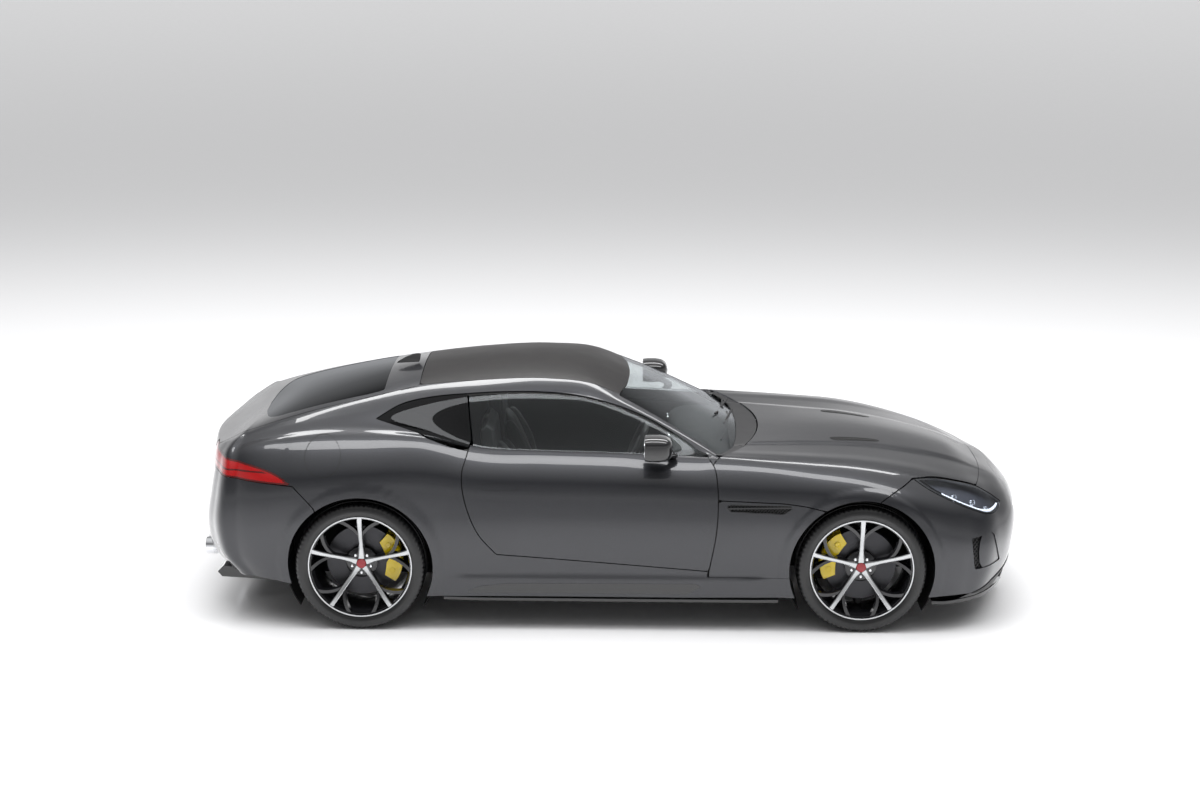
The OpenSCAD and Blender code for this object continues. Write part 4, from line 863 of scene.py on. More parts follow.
def caliper_parts(d, at, span=80):
    """Caliper over the disc's edge: two lobed halves joined by three bridges, with round caps."""
    r, o, t = d / 2, 4.0, 32.0
    u = np.linspace(-1, 1, 25)
    a = np.radians(at + u * span / 2)
    low = r - 60 + 12 * np.abs(u) ** 3 + 17 * np.exp(-(u / 0.16) ** 2)
    high = r + 24 - 8 * np.abs(u) ** 4 - 9 * np.exp(-(u / 0.12) ** 2)
    ring = [polar(*q) for q in zip(high, a)] + [polar(*q) for q in zip(low[::-1], a[::-1])]
    outer = extrude(ring, o + 7, o + 27)
    inner = extrude(ring, o - t - 32, o - t - 7)
    bridges = []
    for first, last in ((0, 3), (9, 15), (21, 24)):
        span_k = range(first, last + 1)
        q = ([polar(r + 23.5 - 12 * abs(u[k]) ** 4, a[k]) for k in span_k]
             + [polar(r + 7, a[k]) for k in reversed(span_k)])
        bridges.append(extrude(q, o - t - 8, o + 8))
    bosses = []
    for q in (-0.5, 0.0, 0.5):
        c = math.radians(at + q * span * 0.62)
        v, f = lathe([(0.01, o + 26.5), (15, o + 26.5), (15, o + 29), (12, o + 31), (0.01, o + 31)], 24)
        bosses.append((v + np.array((*polar(r - 22, c), 0)), f))
    return join([outer, inner] + bridges), join(bosses)


def wheel_place(x, y, side):
    """Matrix from a wheel drawing, axle outwards along +Z and up along +Y, to the car."""
    m = Matrix(((-1 if side > 0 else 1, 0, 0), (0, 0, side), (0, 1, 0))).to_4x4()
    return Matrix.Translation((x / 1000, side * y / 1000, WHEEL_R / 1000)) @ m


# the wheels: place along and across, tyre width, disc diameter
for axle, x, y, w, d in (("front", AXLE, 798, 255, 380), ("rear", -AXLE, 806, 285, 376)):
    bright, black = spoke_parts(w)
    for s, word in SIDES:
        at = f"{axle}_{word}"
        body = f"{at}_wheel"
        place = wheel_place(x, y, s)
        solid(f"{at}_tyre_round", tyre_part(w), TYRE, body, place, f"{at}_tyre", smooth=38)
        solid(f"{at}_rim", join([barrel_part(w), hub_part()]), WHEEL_BLACK, body, place,
              f"{at}_wheel", smooth=40)
        solid(f"{at}_lip", lip_part(w), BRIGHT, body, place, smooth=40)
        solid(f"{at}_spokes", black, WHEEL_BLACK, body, place, smooth=30)
        solid(f"{at}_spoke_faces", bright, BRIGHT, body, place, smooth=30)
        cap = lathe([(0.01, 66), (26, 66), (26, 70), (23, 73), (0.01, 74.5)], 48)
        solid(f"{at}_cap", cap, RED, body, place, smooth=35)
        solid(f"{at}_nuts", nuts_part(), CHROME, body, place, smooth=30)
        solid(f"{at}_disc_vented", disc_part(d), IRON, body, place, f"{at}_disc", smooth=40)
        # front calipers trail and rear ones lead: towards the car's middle on both axles
        angle = {"front": 18, "rear": 172}[axle]
        main, boss = caliper_parts(d, angle if s > 0 else 180 - angle)
        carrier = ("left_knuckle" if s > 0 else "right_knuckle") if axle == "front" else "body"
        stands_for = f"front_caliper_{word}" if axle == "front" else "rear_calipers"
        solid(f"{at}_caliper", main, YELLOW, carrier, place, stands_for, smooth=30, bevel=3)
        solid(f"{at}_caliper_caps", boss, YELLOW, carrier, place, smooth=30)


# ---------------------------------------------------------------- details laid on the skin
def skin_tree():
    """Search tree of the whole outer skin (mm)."""
    parts = []
    for rows, us in ((REAR, steps(TAIL, 580, 12)), (FRONT, steps(500, NOSE, 10))):
        g = surface(rows, us, ALL_ROUND)
        g = g + outward(g) * relief(g)[..., None]
        parts.append((g.reshape(-1, 3), grid_faces(*g.shape[:2])))
    v, f = join(parts)
    return BVHTree.FromPolygons([tuple(p) for p in v], [tuple(int(k) for k in q) for q in f])


SKIN = skin_tree()
RAYS = {"side": lambda a, b: ((a, -3000, b), (0, 1, 0)),
        "front": lambda a, b: ((4000, a, b), (-1, 0, 0)),
        "rear": lambda a, b: ((-4000, a, b), (1, 0, 0)),
        "top": lambda a, b: ((a, b, 4000), (0, 0, -1))}


def on_skin(way, a, b, lift=0.0):
    """Point of the skin seen along a direction, and its outward normal."""
    o, d = RAYS[way](a, b)
    hit, n, _, _ = SKIN.ray_cast(Vector(o), Vector(d))
    if hit is None:
        return None, None
    if n.dot(Vector(d)) > 0:
        n = -n
    return np.array(hit + n * lift), np.array(n)


def laid(name, body, way, inside, box, mat, step=6.0, lift=0.0, thick=8.0, side=-1, replaces=(),
         bulge=None):
    """A piece drawn in side, front, rear or top view and laid on the skin; side=1 mirrors it."""
    a = steps(box[0], box[1], step)
    b = steps(box[2], box[3], step)
    grid = np.stack(np.meshgrid(a, b, indexing="ij"), -1).reshape(-1, 2)
    v, f = clip(grid, grid_faces(len(a), len(b)), inside(grid[:, 0], grid[:, 1]))
    v, f = weld(*compact(v, f))
    pts, ok = [], []
    for p in v:
        h = lift + (bulge(*p) if bulge else 0)
        q, _ = on_skin(way, p[0], p[1], h)
        ok.append(q is not None)
        pts.append(q if q is not None else (0, 0, 0))
    pts, ok = np.array(pts, float), np.array(ok)
    f = f[ok[f].all(1)]
    pts, f = compact(pts, f)
    mid = pts[f].mean(1)
    flip = np.sum(np.cross(pts[f[:, 1]] - pts[f[:, 0]], pts[f[:, 2]] - pts[f[:, 0]]) * inward(mid), 1) > 0
    f[flip] = f[flip][:, ::-1]
    if side > 0:
        pts, f = pts * FLIP, f[:, ::-1]
    return thicken(name, body, pts, f, mat, thick, replaces)


def fill(points, margin=0.0):
    """Inside an outline drawn in a view, as ring, lattice and both also are."""
    return lambda a, b: distance(points, a, b) + margin


def ring(points, out, inn):
    """Strip along an outline, from out outside it to inn inside it."""
    return lambda a, b: np.minimum(distance(points, a, b) + out, inn - distance(points, a, b))


def rounded(x0, x1, z0, z1, r, n=6):
    """Rectangle with round corners."""
    out = []
    for cx, cz, a in ((x1 - r, z1 - r, 0), (x0 + r, z1 - r, 90), (x0 + r, z0 + r, 180),
                      (x1 - r, z0 + r, 270)):
        for k in range(n + 1):
            q = math.radians(a + 90 * k / n)
            out.append((cx + r * math.cos(q), cz + r * math.sin(q)))
    return out


def lattice(cell_a, cell_b, wire):
    """Diamond mesh."""
    def field(a, b):
        p, q = a / cell_a + b / cell_b, a / cell_a - b / cell_b
        d = np.minimum(np.abs(p - np.round(p)), np.abs(q - np.round(q)))
        return wire - d * cell_b * 0.9
    return field


def both(*tests):
    """What all of the tests keep."""
    return lambda a, b: np.minimum.reduce([t(a, b) for t in tests])


# ---- grille, intakes and vents; their backings are near-black sheets of painted shade behind the meshes
MOUTH_BOX = (-432, 432, 262, 586)
in_mouth = fill(MOUTH, -1)
laid("grille_backing", "body", "front", in_mouth, MOUTH_BOX, SHADE_BLACK, 14, -20, 4, replaces="grilles")
laid("grille_mesh", "body", "front", both(in_mouth, lattice(46, 26, 2.6)), MOUTH_BOX, MESH_BLACK, 6.5,
     -12, 5)
laid("grille_ring", "body", "front", ring(MOUTH, -0.5, 9), MOUTH_BOX, GLOSS_BLACK, 7, -1.5, 12)
laid("grille_bar", "body", "front",
     both(in_mouth, lambda a, b: 7 - np.abs(b - 428 - 12 * np.cos(a / 300))), MOUTH_BOX, CHROME, 6, -5, 8)
VANE = [(1942, 514), (2008, 521), (2060, 348), (1948, 339)]
for s, word in SIDES:
    laid(f"intake_backing_{word}", "body", "side", fill(INTAKE, -1), (1880, 2066, 328, 526), SHADE_BLACK, 7,
         -22, 4, side=s, replaces="grilles")
    laid(f"intake_mesh_{word}", "body", "side", both(fill(INTAKE, -1), lattice(20, 26, 2.4)),
         (1880, 1950, 328, 526), MESH_BLACK, 4, -13, 5, side=s)
    laid(f"intake_vane_{word}", "body", "side", fill(spline(VANE, closed=True, n=4), -3),
         (1916, 2068, 330, 528), PAINT, 6, -4.5, 12, side=s)
    vent = fill(SIDE_VENT, -1)
    vent_box = (586, 954, 642, 700)
    laid(f"vent_backing_{word}", "body", "side", vent, vent_box, SHADE_BLACK, 6, -20, 4, side=s,
         replaces="grilles")
    laid(f"vent_mesh_{word}", "body", "side", both(vent, lattice(18, 16, 1.8)), vent_box, MESH_BLACK, 4,
         -13, 4, side=s)
    laid(f"vent_strip_{word}", "body", "side",
         both(vent, lambda a, b: 4.5 - np.abs(b - 674 - (a - 620) * 0.028)), vent_box, GLOSS_BLACK, 4,
         -3, 8, side=s)
    laid(f"vent_frame_{word}", "body", "side", ring(SIDE_VENT, -0.5, 4), vent_box, GLOSS_BLACK, 3.5, -1,
         10, side=s)

# ---- headlights: dark housing, light blade along the lower edge, three projectors, clear cover
def in_lamp(m):
    return in_side(HEADLIGHT, -m)


def lower_band(m, w):
    """Strip of width w that runs m inside the lamp's lower edge."""
    raised = [(x, z + m + w) for x, z in HEADLIGHT]
    inside, above_strip = in_lamp(m), in_side(raised)
    return lambda v: np.minimum(inside(v), -above_strip(v))


def wide(v):
    """Keeps clear of the car's middle."""
    return v[:, 1] - 420


lamp_us, lamp_vs = steps(1560, 2120, 7), np.arange(2, 5.7, 0.05)
for s, word in SIDES:
    panel(f"headlight_cover_{word}", "body", FRONT, lamp_us, lamp_vs,
          [in_lamp(GAP), off_bonnet, wide], LENS, "headlights", depth=1, thick=3, side=s)
    panel(f"headlight_housing_{word}", "body", FRONT, lamp_us, lamp_vs,
          [in_lamp(GAP + 1), off_bonnet, wide], LAMP_INSIDE, depth=34, thick=3, side=s)
    panel(f"headlight_rim_{word}", "body", FRONT, lamp_us, lamp_vs,
          [in_lamp(1), flipped(in_lamp(7)), off_bonnet, wide], GLOSS_BLACK, depth=2.5, thick=26,
          side=s)
    panel(f"headlight_blade_{word}", "body", FRONT, lamp_us, lamp_vs,
          [lower_band(6, 6), wide, lambda v: v[:, 0] - 1730], LIGHT, depth=9, thick=12, side=s)
    for k, (x, z, r) in enumerate(((1800, 716, 21), (1905, 676, 23), (1985, 636, 19))):
        p, _ = on_skin("side", x, z, -31)
        if p is None:
            continue
        d = Vector((0.8, -0.6, 0.05)).normalized()
        bowl = lathe([(0.01, 0), (r, 0), (r + 2, 4), (r + 1, 14), (r - 2, 14), (r - 3, 8),
                      (r * 0.6, 15), (0.01, 19)], 40)
        m = Matrix.Translation(Vector(p) / 1000) @ d.to_track_quat("Z", "Y").to_matrix().to_4x4()
        if s > 0:
            m = Matrix.Scale(-1, 4, (0, 1, 0)) @ m
        solid(f"projector_{word}_{k}", bowl, CHROME, "body", m, smooth=35)

# ---- rear: lamps' frames, number-plate recess, tailpipes
for s, word in SIDES:
    panel(f"tail_light_frame_{word}", "body", REAR, steps(-2230, -1640, 8), np.arange(2.4, 6, 0.05),
          [tail_room(-0.2), flipped(tail_room(-8))], LAMP_DARK, side=s, depth=0.2, thick=5)
    panel(f"tail_light_guide_{word}", "body", REAR, steps(-2230, -1640, 6), np.arange(2.8, 5.4, 0.02),
          [tail_room(-14), lambda v: 4 - np.abs(v[:, 2] - 826 - 0.02 * (v[:, 0] + 2100))],
          LAMP_DARK, side=s, depth=0.4, thick=3)
PLATE_BOX = (-262, 262, 486, 604)
laid("plate_recess", "body", "rear", fill(rounded(-290, 290, 470, 620, 24)), (-292, 292, 468, 622),
     BLACK, 8, 0.8, 6)
laid("plate_rear", "body", "rear", fill(rounded(-260, 260, 490, 600, 6)), PLATE_BOX, PLATE, 8, 3.5, 3)
for y, word in zip(PIPE_Y, "abcd"):
    pipe = lathe([(43, -60), (46, -60), (46, 136), (44.5, 139.5), (41.5, 139), (40, 130), (39, 40),
                  (30, 0), (0.01, 0), (0.01, -8), (30, -8)], 64)
    solid(f"tailpipe_{word}", pipe, CHROME, "body",
          move(-2052, y, PIPE_Z) @ Matrix.Rotation(-PI / 2, 4, "Y"), smooth=35)

# ---- thin lines: fuel flap, flush door handles, bonnet vents
FLAP_X, FLAP_Z, FLAP_R, LINE_W = -1502, 919, 96, 3.2
HANDLE = rounded(-672, -486, 756, 792, 15)
VENT = spline([(1180, 292), (1300, 262), (1440, 250), (1452, 274), (1320, 318), (1196, 336)],
              closed=True, n=4)


def flap_line(a, b):
    r = np.hypot(a - FLAP_X, b - FLAP_Z)
    return np.minimum(FLAP_R - r, r - (FLAP_R - LINE_W))


def in_vent(a, b):
    return distance(VENT, a, np.abs(b))


laid("fuel_flap_line", "body", "side", flap_line,
     (FLAP_X - 98, FLAP_X + 98, FLAP_Z - 98, FLAP_Z + 98), SEAL, 3, 0.35, 3)
for s, word in SIDES:
    laid(f"handle_line_{word}", f"{word}_door", "side", ring(HANDLE, 0, 2.6), (-676, -482, 752, 796),
         SEAL, 3, 0.4, 3, side=s)
    laid(f"handle_{word}", f"{word}_door", "side", fill(HANDLE, -3.2), (-676, -482, 752, 796), PAINT, 5,
         1.6, 5, side=s)
    box = (1170, 1460, 244, 342) if s > 0 else (1170, 1460, -342, -244)
    # each bonnet vent is a flat near-black sheet on the bonnet under its blades: painted shade for the
    # opening
    laid(f"bonnet_vent_{word}", "bonnet", "top", in_vent, box, SHADE_BLACK, 5, 0.6, 4)
    laid(f"bonnet_vent_blade_{word}", "bonnet", "top",
         lambda a, b: np.minimum(in_vent(a, b) - 5, 4 - np.abs(np.abs(b) - 296 + 0.17 * (a - 1300))),
         box, GLOSS_BLACK, 4, 1.6, 4)

# ---- roof's tail fin, wipers and scuttle
v, f = extrude([(-1198, 1228), (-1190, 1238), (-1150, 1262), (-1110, 1279), (-1078, 1283), (-1064, 1279),
                (-1068, 1250), (-1074, 1236)], -11, 11)
v[:, 2] *= np.clip((1290 - v[:, 1]) / 50, 0.35, 1)
solid("aerial_fin", (v, f), GLOSS_BLACK, "hatch", UPRIGHT, smooth=40, bevel=2)
GLASS_EDGE = WINDSHIELD + [(x, -y) for x, y in reversed(WINDSHIELD)]
laid("scuttle", "body", "top",
     lambda a, b: np.minimum.reduce([1362 - np.hypot(a + 566, b), -distance(GLASS_EDGE, a, b) - 1.5,
                                     a - 545, 712 - np.abs(b)]),
     (540, 805, -715, 715), BLACK, 10, -5, 8)
for k, (x0, y0, x1, y1) in enumerate(((640, 200, 585, -420), (625, 480, 560, -60))):
    dx, dy = x1 - x0, y1 - y0
    pts = [on_skin("top", x0 + dx * q + 18 * math.sin(PI * q), y0 + dy * q, 9)[0]
           for q in np.linspace(0, 1, 15)]
    solid(f"wiper_blade_{k}", tube([p for p in pts if p is not None], 5, 8), BLACK, "body", smooth=50)
    pts = [on_skin("top", x0 + 30 + (dx / 2 - 30) * q, y0 + dy / 2 * q, 18)[0]
           for q in np.linspace(0, 1, 6)]
    solid(f"wiper_arm_{k}", tube(pts, 6, 8), BLACK, "body", smooth=50)

# ---- wheel arches' liners and the walls inside them: black plastic, made darker still with painted shade for the arches' depth
for s, word in SIDES:
    for k, (x, wall) in enumerate(((AXLE, 397), (-AXLE, 572))):
        place = move(x, 0, WHEEL_R) @ UPRIGHT
        t = np.radians(np.linspace(-36, 216, 50))
        arc = [polar(ARCH_R + 18, q) for q in t] + [polar(ARCH_R + 23, q) for q in t[::-1]]
        ends = sorted((-s * wall, -s * 862))
        solid(f"arch_liner_{word}_{k}", extrude(arc, *ends), SHADE_BLACK, "body", place, smooth=40)
        cover = [polar(ARCH_R + 18, q) for q in np.radians(np.linspace(-21, 201, 40))]
        ends = sorted((-s * (wall - 3), -s * wall))
        solid(f"arch_wall_{word}_{k}", extrude(cover, *ends), SHADE_BLACK, "body", place)

# ---- splitter, sills and diffuser
half = spline([(2186, 0), (2176, 160), (2150, 300), (2062, 560), (1936, 742), (1760, 848), (1690, 850)],
              n=5)
full = half + [(1690, -850)] + [(x, -y) for x, y in reversed(half)][1:-1]
solid("splitter", extrude(full, 139, 156), GLOSS_BLACK, "body", replaces="lower_trim", smooth=30,
      bevel=3)
for s, word in SIDES:
    blade = [(x, s * y) for x, y in spline([(2120, 430), (2056, 562), (1930, 742), (1758, 848)], n=5)]
    inner = [(x - 6, y - s * 14) for x, y in blade[::-1]]
    n = len(blade)
    tops = [156 + 34 * math.sin(PI * min(1, k / (n - 1) * 1.15)) for k in range(n)]
    solid(f"splitter_blade_{word}", extrude(blade + inner, 154, tops + tops[::-1]), GLOSS_BLACK,
          "body", smooth=30)
    sill = [(x, s * y) for x, y in ((-880, 800), (-880, 884), (-700, 896), (0, 898), (700, 896),
                                    (880, 890), (880, 800))]
    solid(f"sill_skirt_{word}", extrude(sill, 152, 170), GLOSS_BLACK, "body", replaces="lower_trim",
          smooth=30, bevel=3)
    laid(f"sill_insert_{word}", "body", "side", fill([(-770, 204), (-690, 240), (-560, 256), (440, 262),
         (476, 246), (400, 204)]), (-772, 480, 202, 264), GLOSS_BLACK, 9, 1.2, 4, side=s)
    laid(f"nose_blade_{word}", "body", "side", fill([(1840, 180), (1990, 222), (2100, 268), (2166, 306),
         (2190, 268), (2156, 214), (2060, 184)]), (1838, 2194, 178, 310), BLACK, 6, 4, 12, side=s)
DIFFUSER = [(-2122, 200), (-2098, 172), (-1732, 152), (-1732, 172), (-1850, 202), (-2086, 236)]
FIN = [(-2116, 196), (-2090, 140), (-1768, 138), (-1768, 158), (-2090, 214)]
solid("diffuser", extrude(DIFFUSER, -596, 596), GLOSS_BLACK, "body", UPRIGHT, replaces="lower_trim",
      smooth=30, bevel=3)
for k, y in enumerate((-450, -300, -150, 150, 300, 450)):
    solid(f"diffuser_fin_{k}", extrude(FIN, y - 5, y + 5), BLACK, "body", UPRIGHT, smooth=30, bevel=2)
VALANCE = [(-560, 236), (-590, 300), (-560, 388), (-330, 396), (-300, 330), (300, 330), (330, 396),
           (560, 388), (590, 300), (560, 236)]
laid("rear_valance", "body", "rear", both(fill(VALANCE), off_pipes), (-595, 595, 234, 398), BLACK, 10,
     0.9, 5)

# ---- mirrors: a round-cornered shell, a flat pane in its back, a stalk from the window's corner
MIRROR_Z = 988
SHELL = [(0, 0.02, 0.02), (4, 0.5, 0.5), (12, 0.75, 0.76), (28, 0.93, 0.93), (52, 1, 1), (80, 1, 1),
         (96, 0.98, 0.97), (104, 0.94, 0.93)]  # depth from the front, and the share of width and height


def mirror_shell(s):
    n, power = 48, 2 / 3.2
    pts = []
    for d, a, b in SHELL:
        for k in range(n):
            c, t = polar(1, 2 * PI * k / n)
            pts.append((318 - 1.42 * d, s * (903 + 88 * a * abs(c) ** power * np.sign(c) - 10 * (1 - a)),
                        MIRROR_Z + 66 * b * abs(t) ** power * np.sign(t) + 6 * abs(c) * (c > 0)))
    e = (len(SHELL) - 1) * n
    f = np.array(ring_faces(len(SHELL), n) + [(0, k + 1, k) for k in range(1, n - 1)]
                 + [(e, e + k, e + k + 1) for k in range(1, n - 1)])
    return np.array(pts), f if s < 0 else f[:, ::-1]


def mirror_pane(s, n=40):
    front = [(169.5, s * (901 + 76 * math.cos(a)), MIRROR_Z + 55 * math.sin(a))
             for a in np.arange(n) * 2 * PI / n]
    f = ([(0, k, k + 1) for k in range(1, n - 1)]
         + [(n, n + k + 1, n + k) for k in range(1, n - 1)])
    for k in range(n):
        j = (k + 1) % n
        f += [(k, n + k, n + j), (k, n + j, j)]
    return np.array(front + [(x - 1.5, y, z) for x, y, z in front]), np.array(f)


for s, word in SIDES:
    body = f"{word}_door"
    solid(f"mirror_shell_{word}", mirror_shell(s), GLOSS_BLACK, body, replaces=f"mirror_{word}",
          smooth=60)
    solid(f"mirror_pane_{word}", mirror_pane(s), MIRROR, body)
    stalk = [(290, s * 774, 903), (300, s * 800, 918), (296, s * 826, 934), (270, s * 850, 946)]
    v, f = tube(spline(stalk, n=5), 14, 16)
    v[:, 0] = 276 + (v[:, 0] - 276) * 1.8
    solid(f"mirror_stalk_{word}", (v, f), GLOSS_BLACK, body, replaces=f"mirror_{word}", smooth=60)


# ---------------------------------------------------------------- cabin
FLOOR_Z, SEAT_Y = 190, 370


def pillow(center, size, turn, power=2.6, n=26):
    """Closed rounded block (mm), turned about Y: the start of a padded piece."""
    u = np.linspace(-PI / 2, PI / 2, n)
    w = np.linspace(-PI, PI, 2 * n, endpoint=False)
    cu, su, cw, sw = (np.sign(q) * np.abs(q) ** (2 / power)
                      for q in (np.cos(u), np.sin(u), np.cos(w), np.sin(w)))
    x = np.outer(cu, cw) * size[0] / 2
    y = np.outer(cu, sw) * size[1] / 2
    z = np.outer(su, np.ones(2 * n)) * size[2] / 2
    v = np.stack([x, y, z], -1).reshape(-1, 3)
    v, f = weld(v, np.array(ring_faces(n, 2 * n)), 0.05)
    c, s = math.cos(turn), math.sin(turn)
    v = v @ np.array([[c, 0, -s], [0, 1, 0], [s, 0, c]])
    return v + np.array(center), f


def inflate(o, cap=0.012, voxel=0.012):
    """Cloth simulation that swells a pad like stuffed leather, with its travel capped."""
    bpy.context.view_layer.objects.active = o
    for q in bpy.context.selected_objects:
        q.select_set(False)
    o.select_set(True)
    m = o.modifiers.new("remesh", "REMESH")
    m.mode, m.voxel_size = "VOXEL", voxel
    bpy.ops.object.modifier_apply(modifier=m.name)
    start = np.array([q.co[:] for q in o.data.vertices])
    c = o.modifiers.new("cloth", "CLOTH")
    c.settings.use_pressure = True
    c.settings.uniform_pressure_force = 4
    c.settings.effector_weights.gravity = 0
    for frame_no in range(1, 21):
        bpy.context.scene.frame_set(frame_no)
    done = o.evaluated_get(bpy.context.evaluated_depsgraph_get()).to_mesh()
    end = np.array([q.co[:] for q in done.vertices])
    o.modifiers.remove(c)
    d = end - start
    far = np.linalg.norm(d, axis=1, keepdims=True)
    end = start + d * np.minimum(1, cap / np.maximum(far, 1e-9))
    o.data.vertices.foreach_set("co", end.reshape(-1))
    o.data.update()
    bpy.context.scene.frame_set(1)


def pads(name, parts, replaces=()):
    """A padded piece and its mirror copy on the other seat."""
    v, f = join(parts)
    o = mesh_object(f"{name}_left", (v + np.array((0, SEAT_Y, 0))) / 1000, f, LEATHER)
    inflate(o)
    sub = o.modifiers.new("smooth", "SUBSURF")
    sub.levels = sub.render_levels = 1
    for p in o.data.polygons:
        p.use_smooth = True
    twin = o.copy()
    twin.data = o.data.copy()
    twin.name = f"{name}_right"
    twin.data.transform(Matrix.Scale(-1, 4, (0, 1, 0)))
    twin.data.flip_normals()
    bpy.context.scene.collection.objects.link(twin)
    for q in (o, twin):
        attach(q, "body")
        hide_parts("seats")


LEAN = math.radians(-21)


def back(x, y, z):
    """A place on the seat back: x forwards from its face's middle, z up along it."""
    c, s = math.cos(LEAN), math.sin(LEAN)
    return -530 + x * c + z * s, y, 660 - x * s + z * c


TIP = math.radians(8)
pads("seat_cushion", [pillow((-240, 0, 352), (430, 270, 76), TIP),
                      pillow((-240, 178, 374), (440, 74, 96), TIP),
                      pillow((-240, -178, 374), (440, 74, 96), TIP)])
pads("seat_back", [pillow(back(-6, 0, 10), (72, 262, 470), LEAN),
                   pillow(back(10, 170, -10), (96, 76, 430), LEAN),
                   pillow(back(10, -170, -10), (96, 76, 430), LEAN)])
pads("seat_head", [pillow(back(-18, 0, 330), (64, 230, 130), LEAN)])
seat_side = [(-550, 0), (-72, 0), (-60, 120), (-90, 160), (-370, 118), (-452, 190), (-602, 560),
             (-628, 800), (-668, 830), (-700, 800), (-690, 590), (-590, 130)]
for s, word in SIDES:
    seat_frame = extrude([(x, z + FLOOR_Z + 2) for x, z in seat_side], -s * SEAT_Y - 205,
                         -s * SEAT_Y + 205)
    solid(f"seat_frame_{word}", seat_frame, TRIM, "body", UPRIGHT, replaces="seats", smooth=30,
          bevel=12)
    for k, y in enumerate((-118, 118)):
        # stitched seams along the cushion and the back
        pts = [(-60 - 14 * q, s * (SEAT_Y + y), 395 - 1.9 * q) for q in range(24)]
        solid(f"seat_seam_{word}_{k}", tube(pts, 1.6, 6), SEAL, "body", smooth=60)

DASH = spline([(700, 600), (702, 790), (640, 822), (560, 838), (470, 838), (392, 828), (330, 796),
               (318, 748), (352, 690), (410, 640), (470, 600)], n=5)
CONSOLE = [(-555, 372), (-555, 500), (-470, 528), (100, 540), (320, 620), (420, 700), (520, 700),
           (552, 480), (552, 372)]
HOOD = [(460, 822), (330, 838), (322, 868), (352, 884), (460, 880), (520, 850)]
solid("dashboard_shell", extrude(DASH, -672, 672), TRIM, "body", UPRIGHT, replaces="dashboard",
      smooth=50, bevel=4)
solid("centre_console", extrude(CONSOLE, -96, 96), TRIM, "body", UPRIGHT, replaces="dashboard",
      smooth=40, bevel=10)
tilt = (move(372, 0, 640) @ Matrix.Rotation(math.radians(-64), 4, "Y")
        @ Matrix.Rotation(PI / 2, 4, "Z"))
solid("centre_screen", extrude(rounded(-64, 64, 0, 150, 10), 0, 8), GLOSS_BLACK, "body", tilt, bevel=2)
vent_ring = lathe([(14, 0), (38, 0), (40, 6), (36, 10), (33, 6), (14, 3)], 40)
for k, y in enumerate((-600, -170, 170, 600)):
    solid(f"air_vent_{k}", vent_ring, CHROME, "body",
          move(322, y, 770) @ Matrix.Rotation(-PI / 2 - 0.15, 4, "Y"), smooth=40)
lever = lathe([(0.01, 0), (20, 0), (22, 20), (16, 46), (14, 70), (18, 84), (12, 94), (0.01, 95)], 32)
solid("gear_selector", lever, LEATHER, "body", move(40, 0, 534), smooth=50)
solid("instrument_hood", extrude(HOOD, SEAT_Y - 150, SEAT_Y + 150), TRIM, "body", UPRIGHT, smooth=40,
      bevel=12)

# steering wheel, turned about its column
col = move(128, -370, 868) @ Matrix.Rotation(math.radians(114), 4, "Y")


def steering_rim(r=159, n=96, m=16):
    """Padded ring, a little flat at the bottom, with a slightly rippled section."""
    v = []
    for a in np.arange(n) * 2 * PI / n:
        flat = 1 - 0.05 * max(0, math.cos(a)) ** 8
        for q in np.arange(m) * 2 * PI / m:
            v.append((*polar(r * flat + 14 * math.cos(q) + 0.4 * math.cos(6 * q), a), 14 * math.sin(q)))
    return np.array(v), np.array(ring_faces(n, m, closed=True))[:, ::-1]


solid("steering_rim", steering_rim(), LEATHER, "steering_wheel", col, "steering_wheel", smooth=60)
hub = extrude(spline([(-52, 0), (-40, 42), (0, 56), (46, 40), (58, 0), (46, -40), (0, -56), (-40, -42)],
                     closed=True, n=5), -2, 34)
solid("steering_boss", hub, LEATHER, "steering_wheel", col, smooth=40, bevel=8)
arm = extrude([(36, -16), (150, -11), (150, 11), (36, 16)], 2, 14)
solid("steering_spokes", join([turned(arm, a) for a in (0, PI / 2, -PI / 2)]), GLOSS_BLACK,
      "steering_wheel", col, smooth=40, bevel=2)
solid("steering_column", tube([(0, 0, 30), (0, 0, 100), (0, 0, 188)], 21, 32), BLACK, "steering_wheel",
      col, smooth=40)

# carpet, luggage floor, headliner
solid("carpet", box_part(-880, 715, -736, 736, FLOOR_Z + 1, FLOOR_Z + 9), CARPET, "body", bevel=3)
solid("luggage_carpet", box_part(-1985, -905, -556, 556, 562, 572), CARPET, "body", bevel=3)
panel("headliner", "body", REAR, steps(-1050, 80, 24), np.arange(6.8, 9.21, 0.1), [in_plan(ROOF, -22)],
      TRIM, depth=24, thick=5, rise=False)
solid("parcel_shelf", extrude([(-1010, -560), (-1010, 560), (-905, 640), (-905, -640)], 790, 800),
      CARPET, "body", bevel=3)

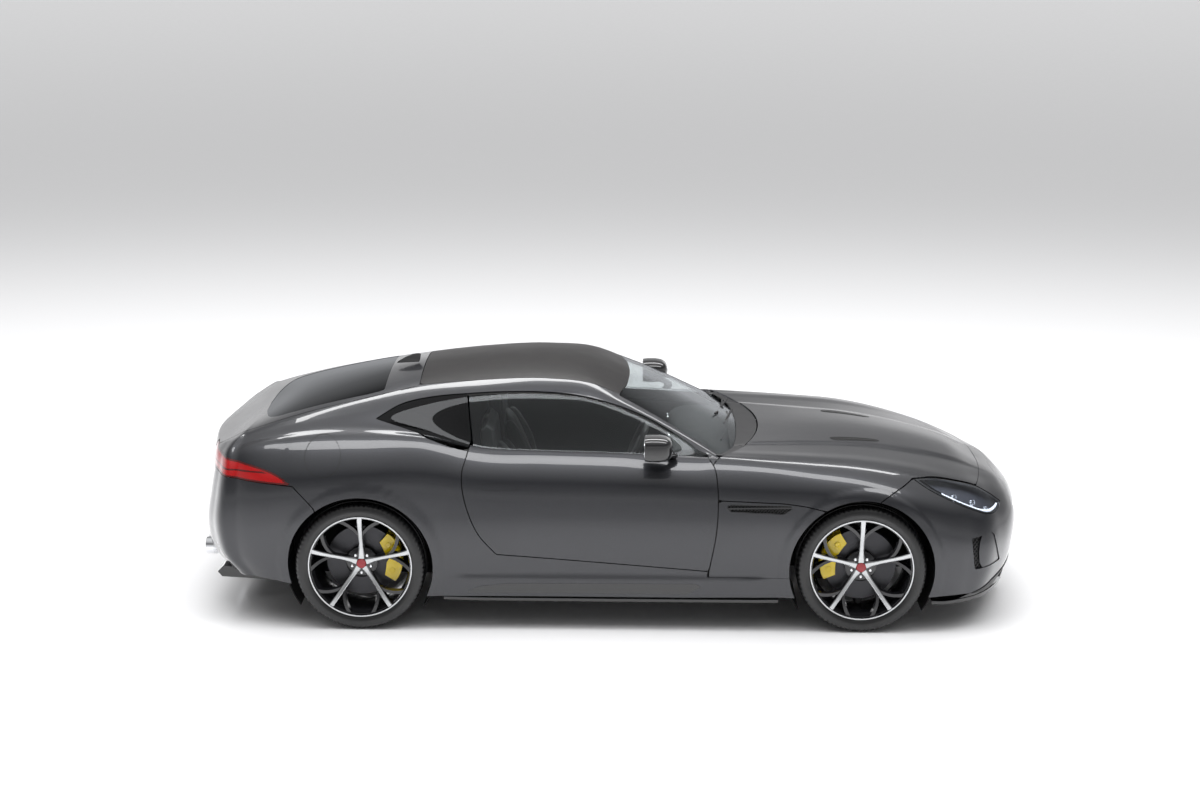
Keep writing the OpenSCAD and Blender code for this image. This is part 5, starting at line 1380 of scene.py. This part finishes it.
# ---------------------------------------------------------------- studio
floor_mat = material("studio_floor", (0.86, 0.86, 0.87), 0.0, 0.12)
bpy.ops.mesh.primitive_circle_add(vertices=96, radius=60, fill_type="NGON", location=(0, 0, 0))
ground = bpy.context.object
ground.name = "studio_floor"
ground.data.materials.append(floor_mat)

world = bpy.data.worlds.new("studio")
bpy.context.scene.world = world
world.use_nodes = True
t = world.node_tree
at = t.nodes.new("ShaderNodeTexCoord")
split = t.nodes.new("ShaderNodeSeparateXYZ")
ramp = t.nodes.new("ShaderNodeValToRGB")
t.links.new(at.outputs["Generated"], split.inputs[0])
t.links.new(split.outputs["Z"], ramp.inputs["Fac"])
t.links.new(ramp.outputs["Color"], t.nodes["Background"].inputs["Color"])
t.nodes["Background"].inputs["Strength"].default_value = 1.0
for pos, c in ((0.0, 0.75), (0.06, 0.8), (0.2, 0.42), (0.45, 0.16), (1.0, 0.1)):
    e = ramp.color_ramp.elements[0] if pos == 0 else ramp.color_ramp.elements.new(pos)
    e.position = pos
    e.color = (c, c, c * 1.01, 1)


def softbox(name, place, target, size, power, seen=True):
    """Rectangular light aimed at a target; without seen, nothing mirrors it."""
    lamp = bpy.data.lights.new(name, "AREA")
    lamp.shape, lamp.size, lamp.size_y, lamp.energy = "RECTANGLE", size[0], size[1], power
    o = bpy.data.objects.new(name, lamp)
    o.location = place
    o.rotation_euler = (Vector(target) - Vector(place)).to_track_quat("-Z", "Y").to_euler()
    o.visible_glossy = seen
    bpy.context.scene.collection.objects.link(o)


softbox("ceiling", (0, 1.5, 7.5), (0, 0, 0), (18, 14), 1650, seen=False)
softbox("strip_near", (0, -1.2, 4.2), (0, 0, 0.6), (6.5, 0.9), 105)
softbox("strip_far", (0, 2.6, 4.2), (0, 0, 0.6), (6.5, 0.8), 100)
bpy.context.scene.view_settings.view_transform = "Standard"

cam = bpy.data.objects.new("camera", bpy.data.cameras.new("camera"))
cam.data.lens, cam.data.sensor_width = 67.47, 36
cam.matrix_world = Matrix.Translation((0.067, -12.13, 3.981))
for angle, axis in ((0.66, "Z"), (76.34, "X"), (0.331, "Z")):
    cam.matrix_world = cam.matrix_world @ Matrix.Rotation(math.radians(angle), 4, axis)
bpy.context.scene.collection.objects.link(cam)
bpy.context.scene.camera = cam
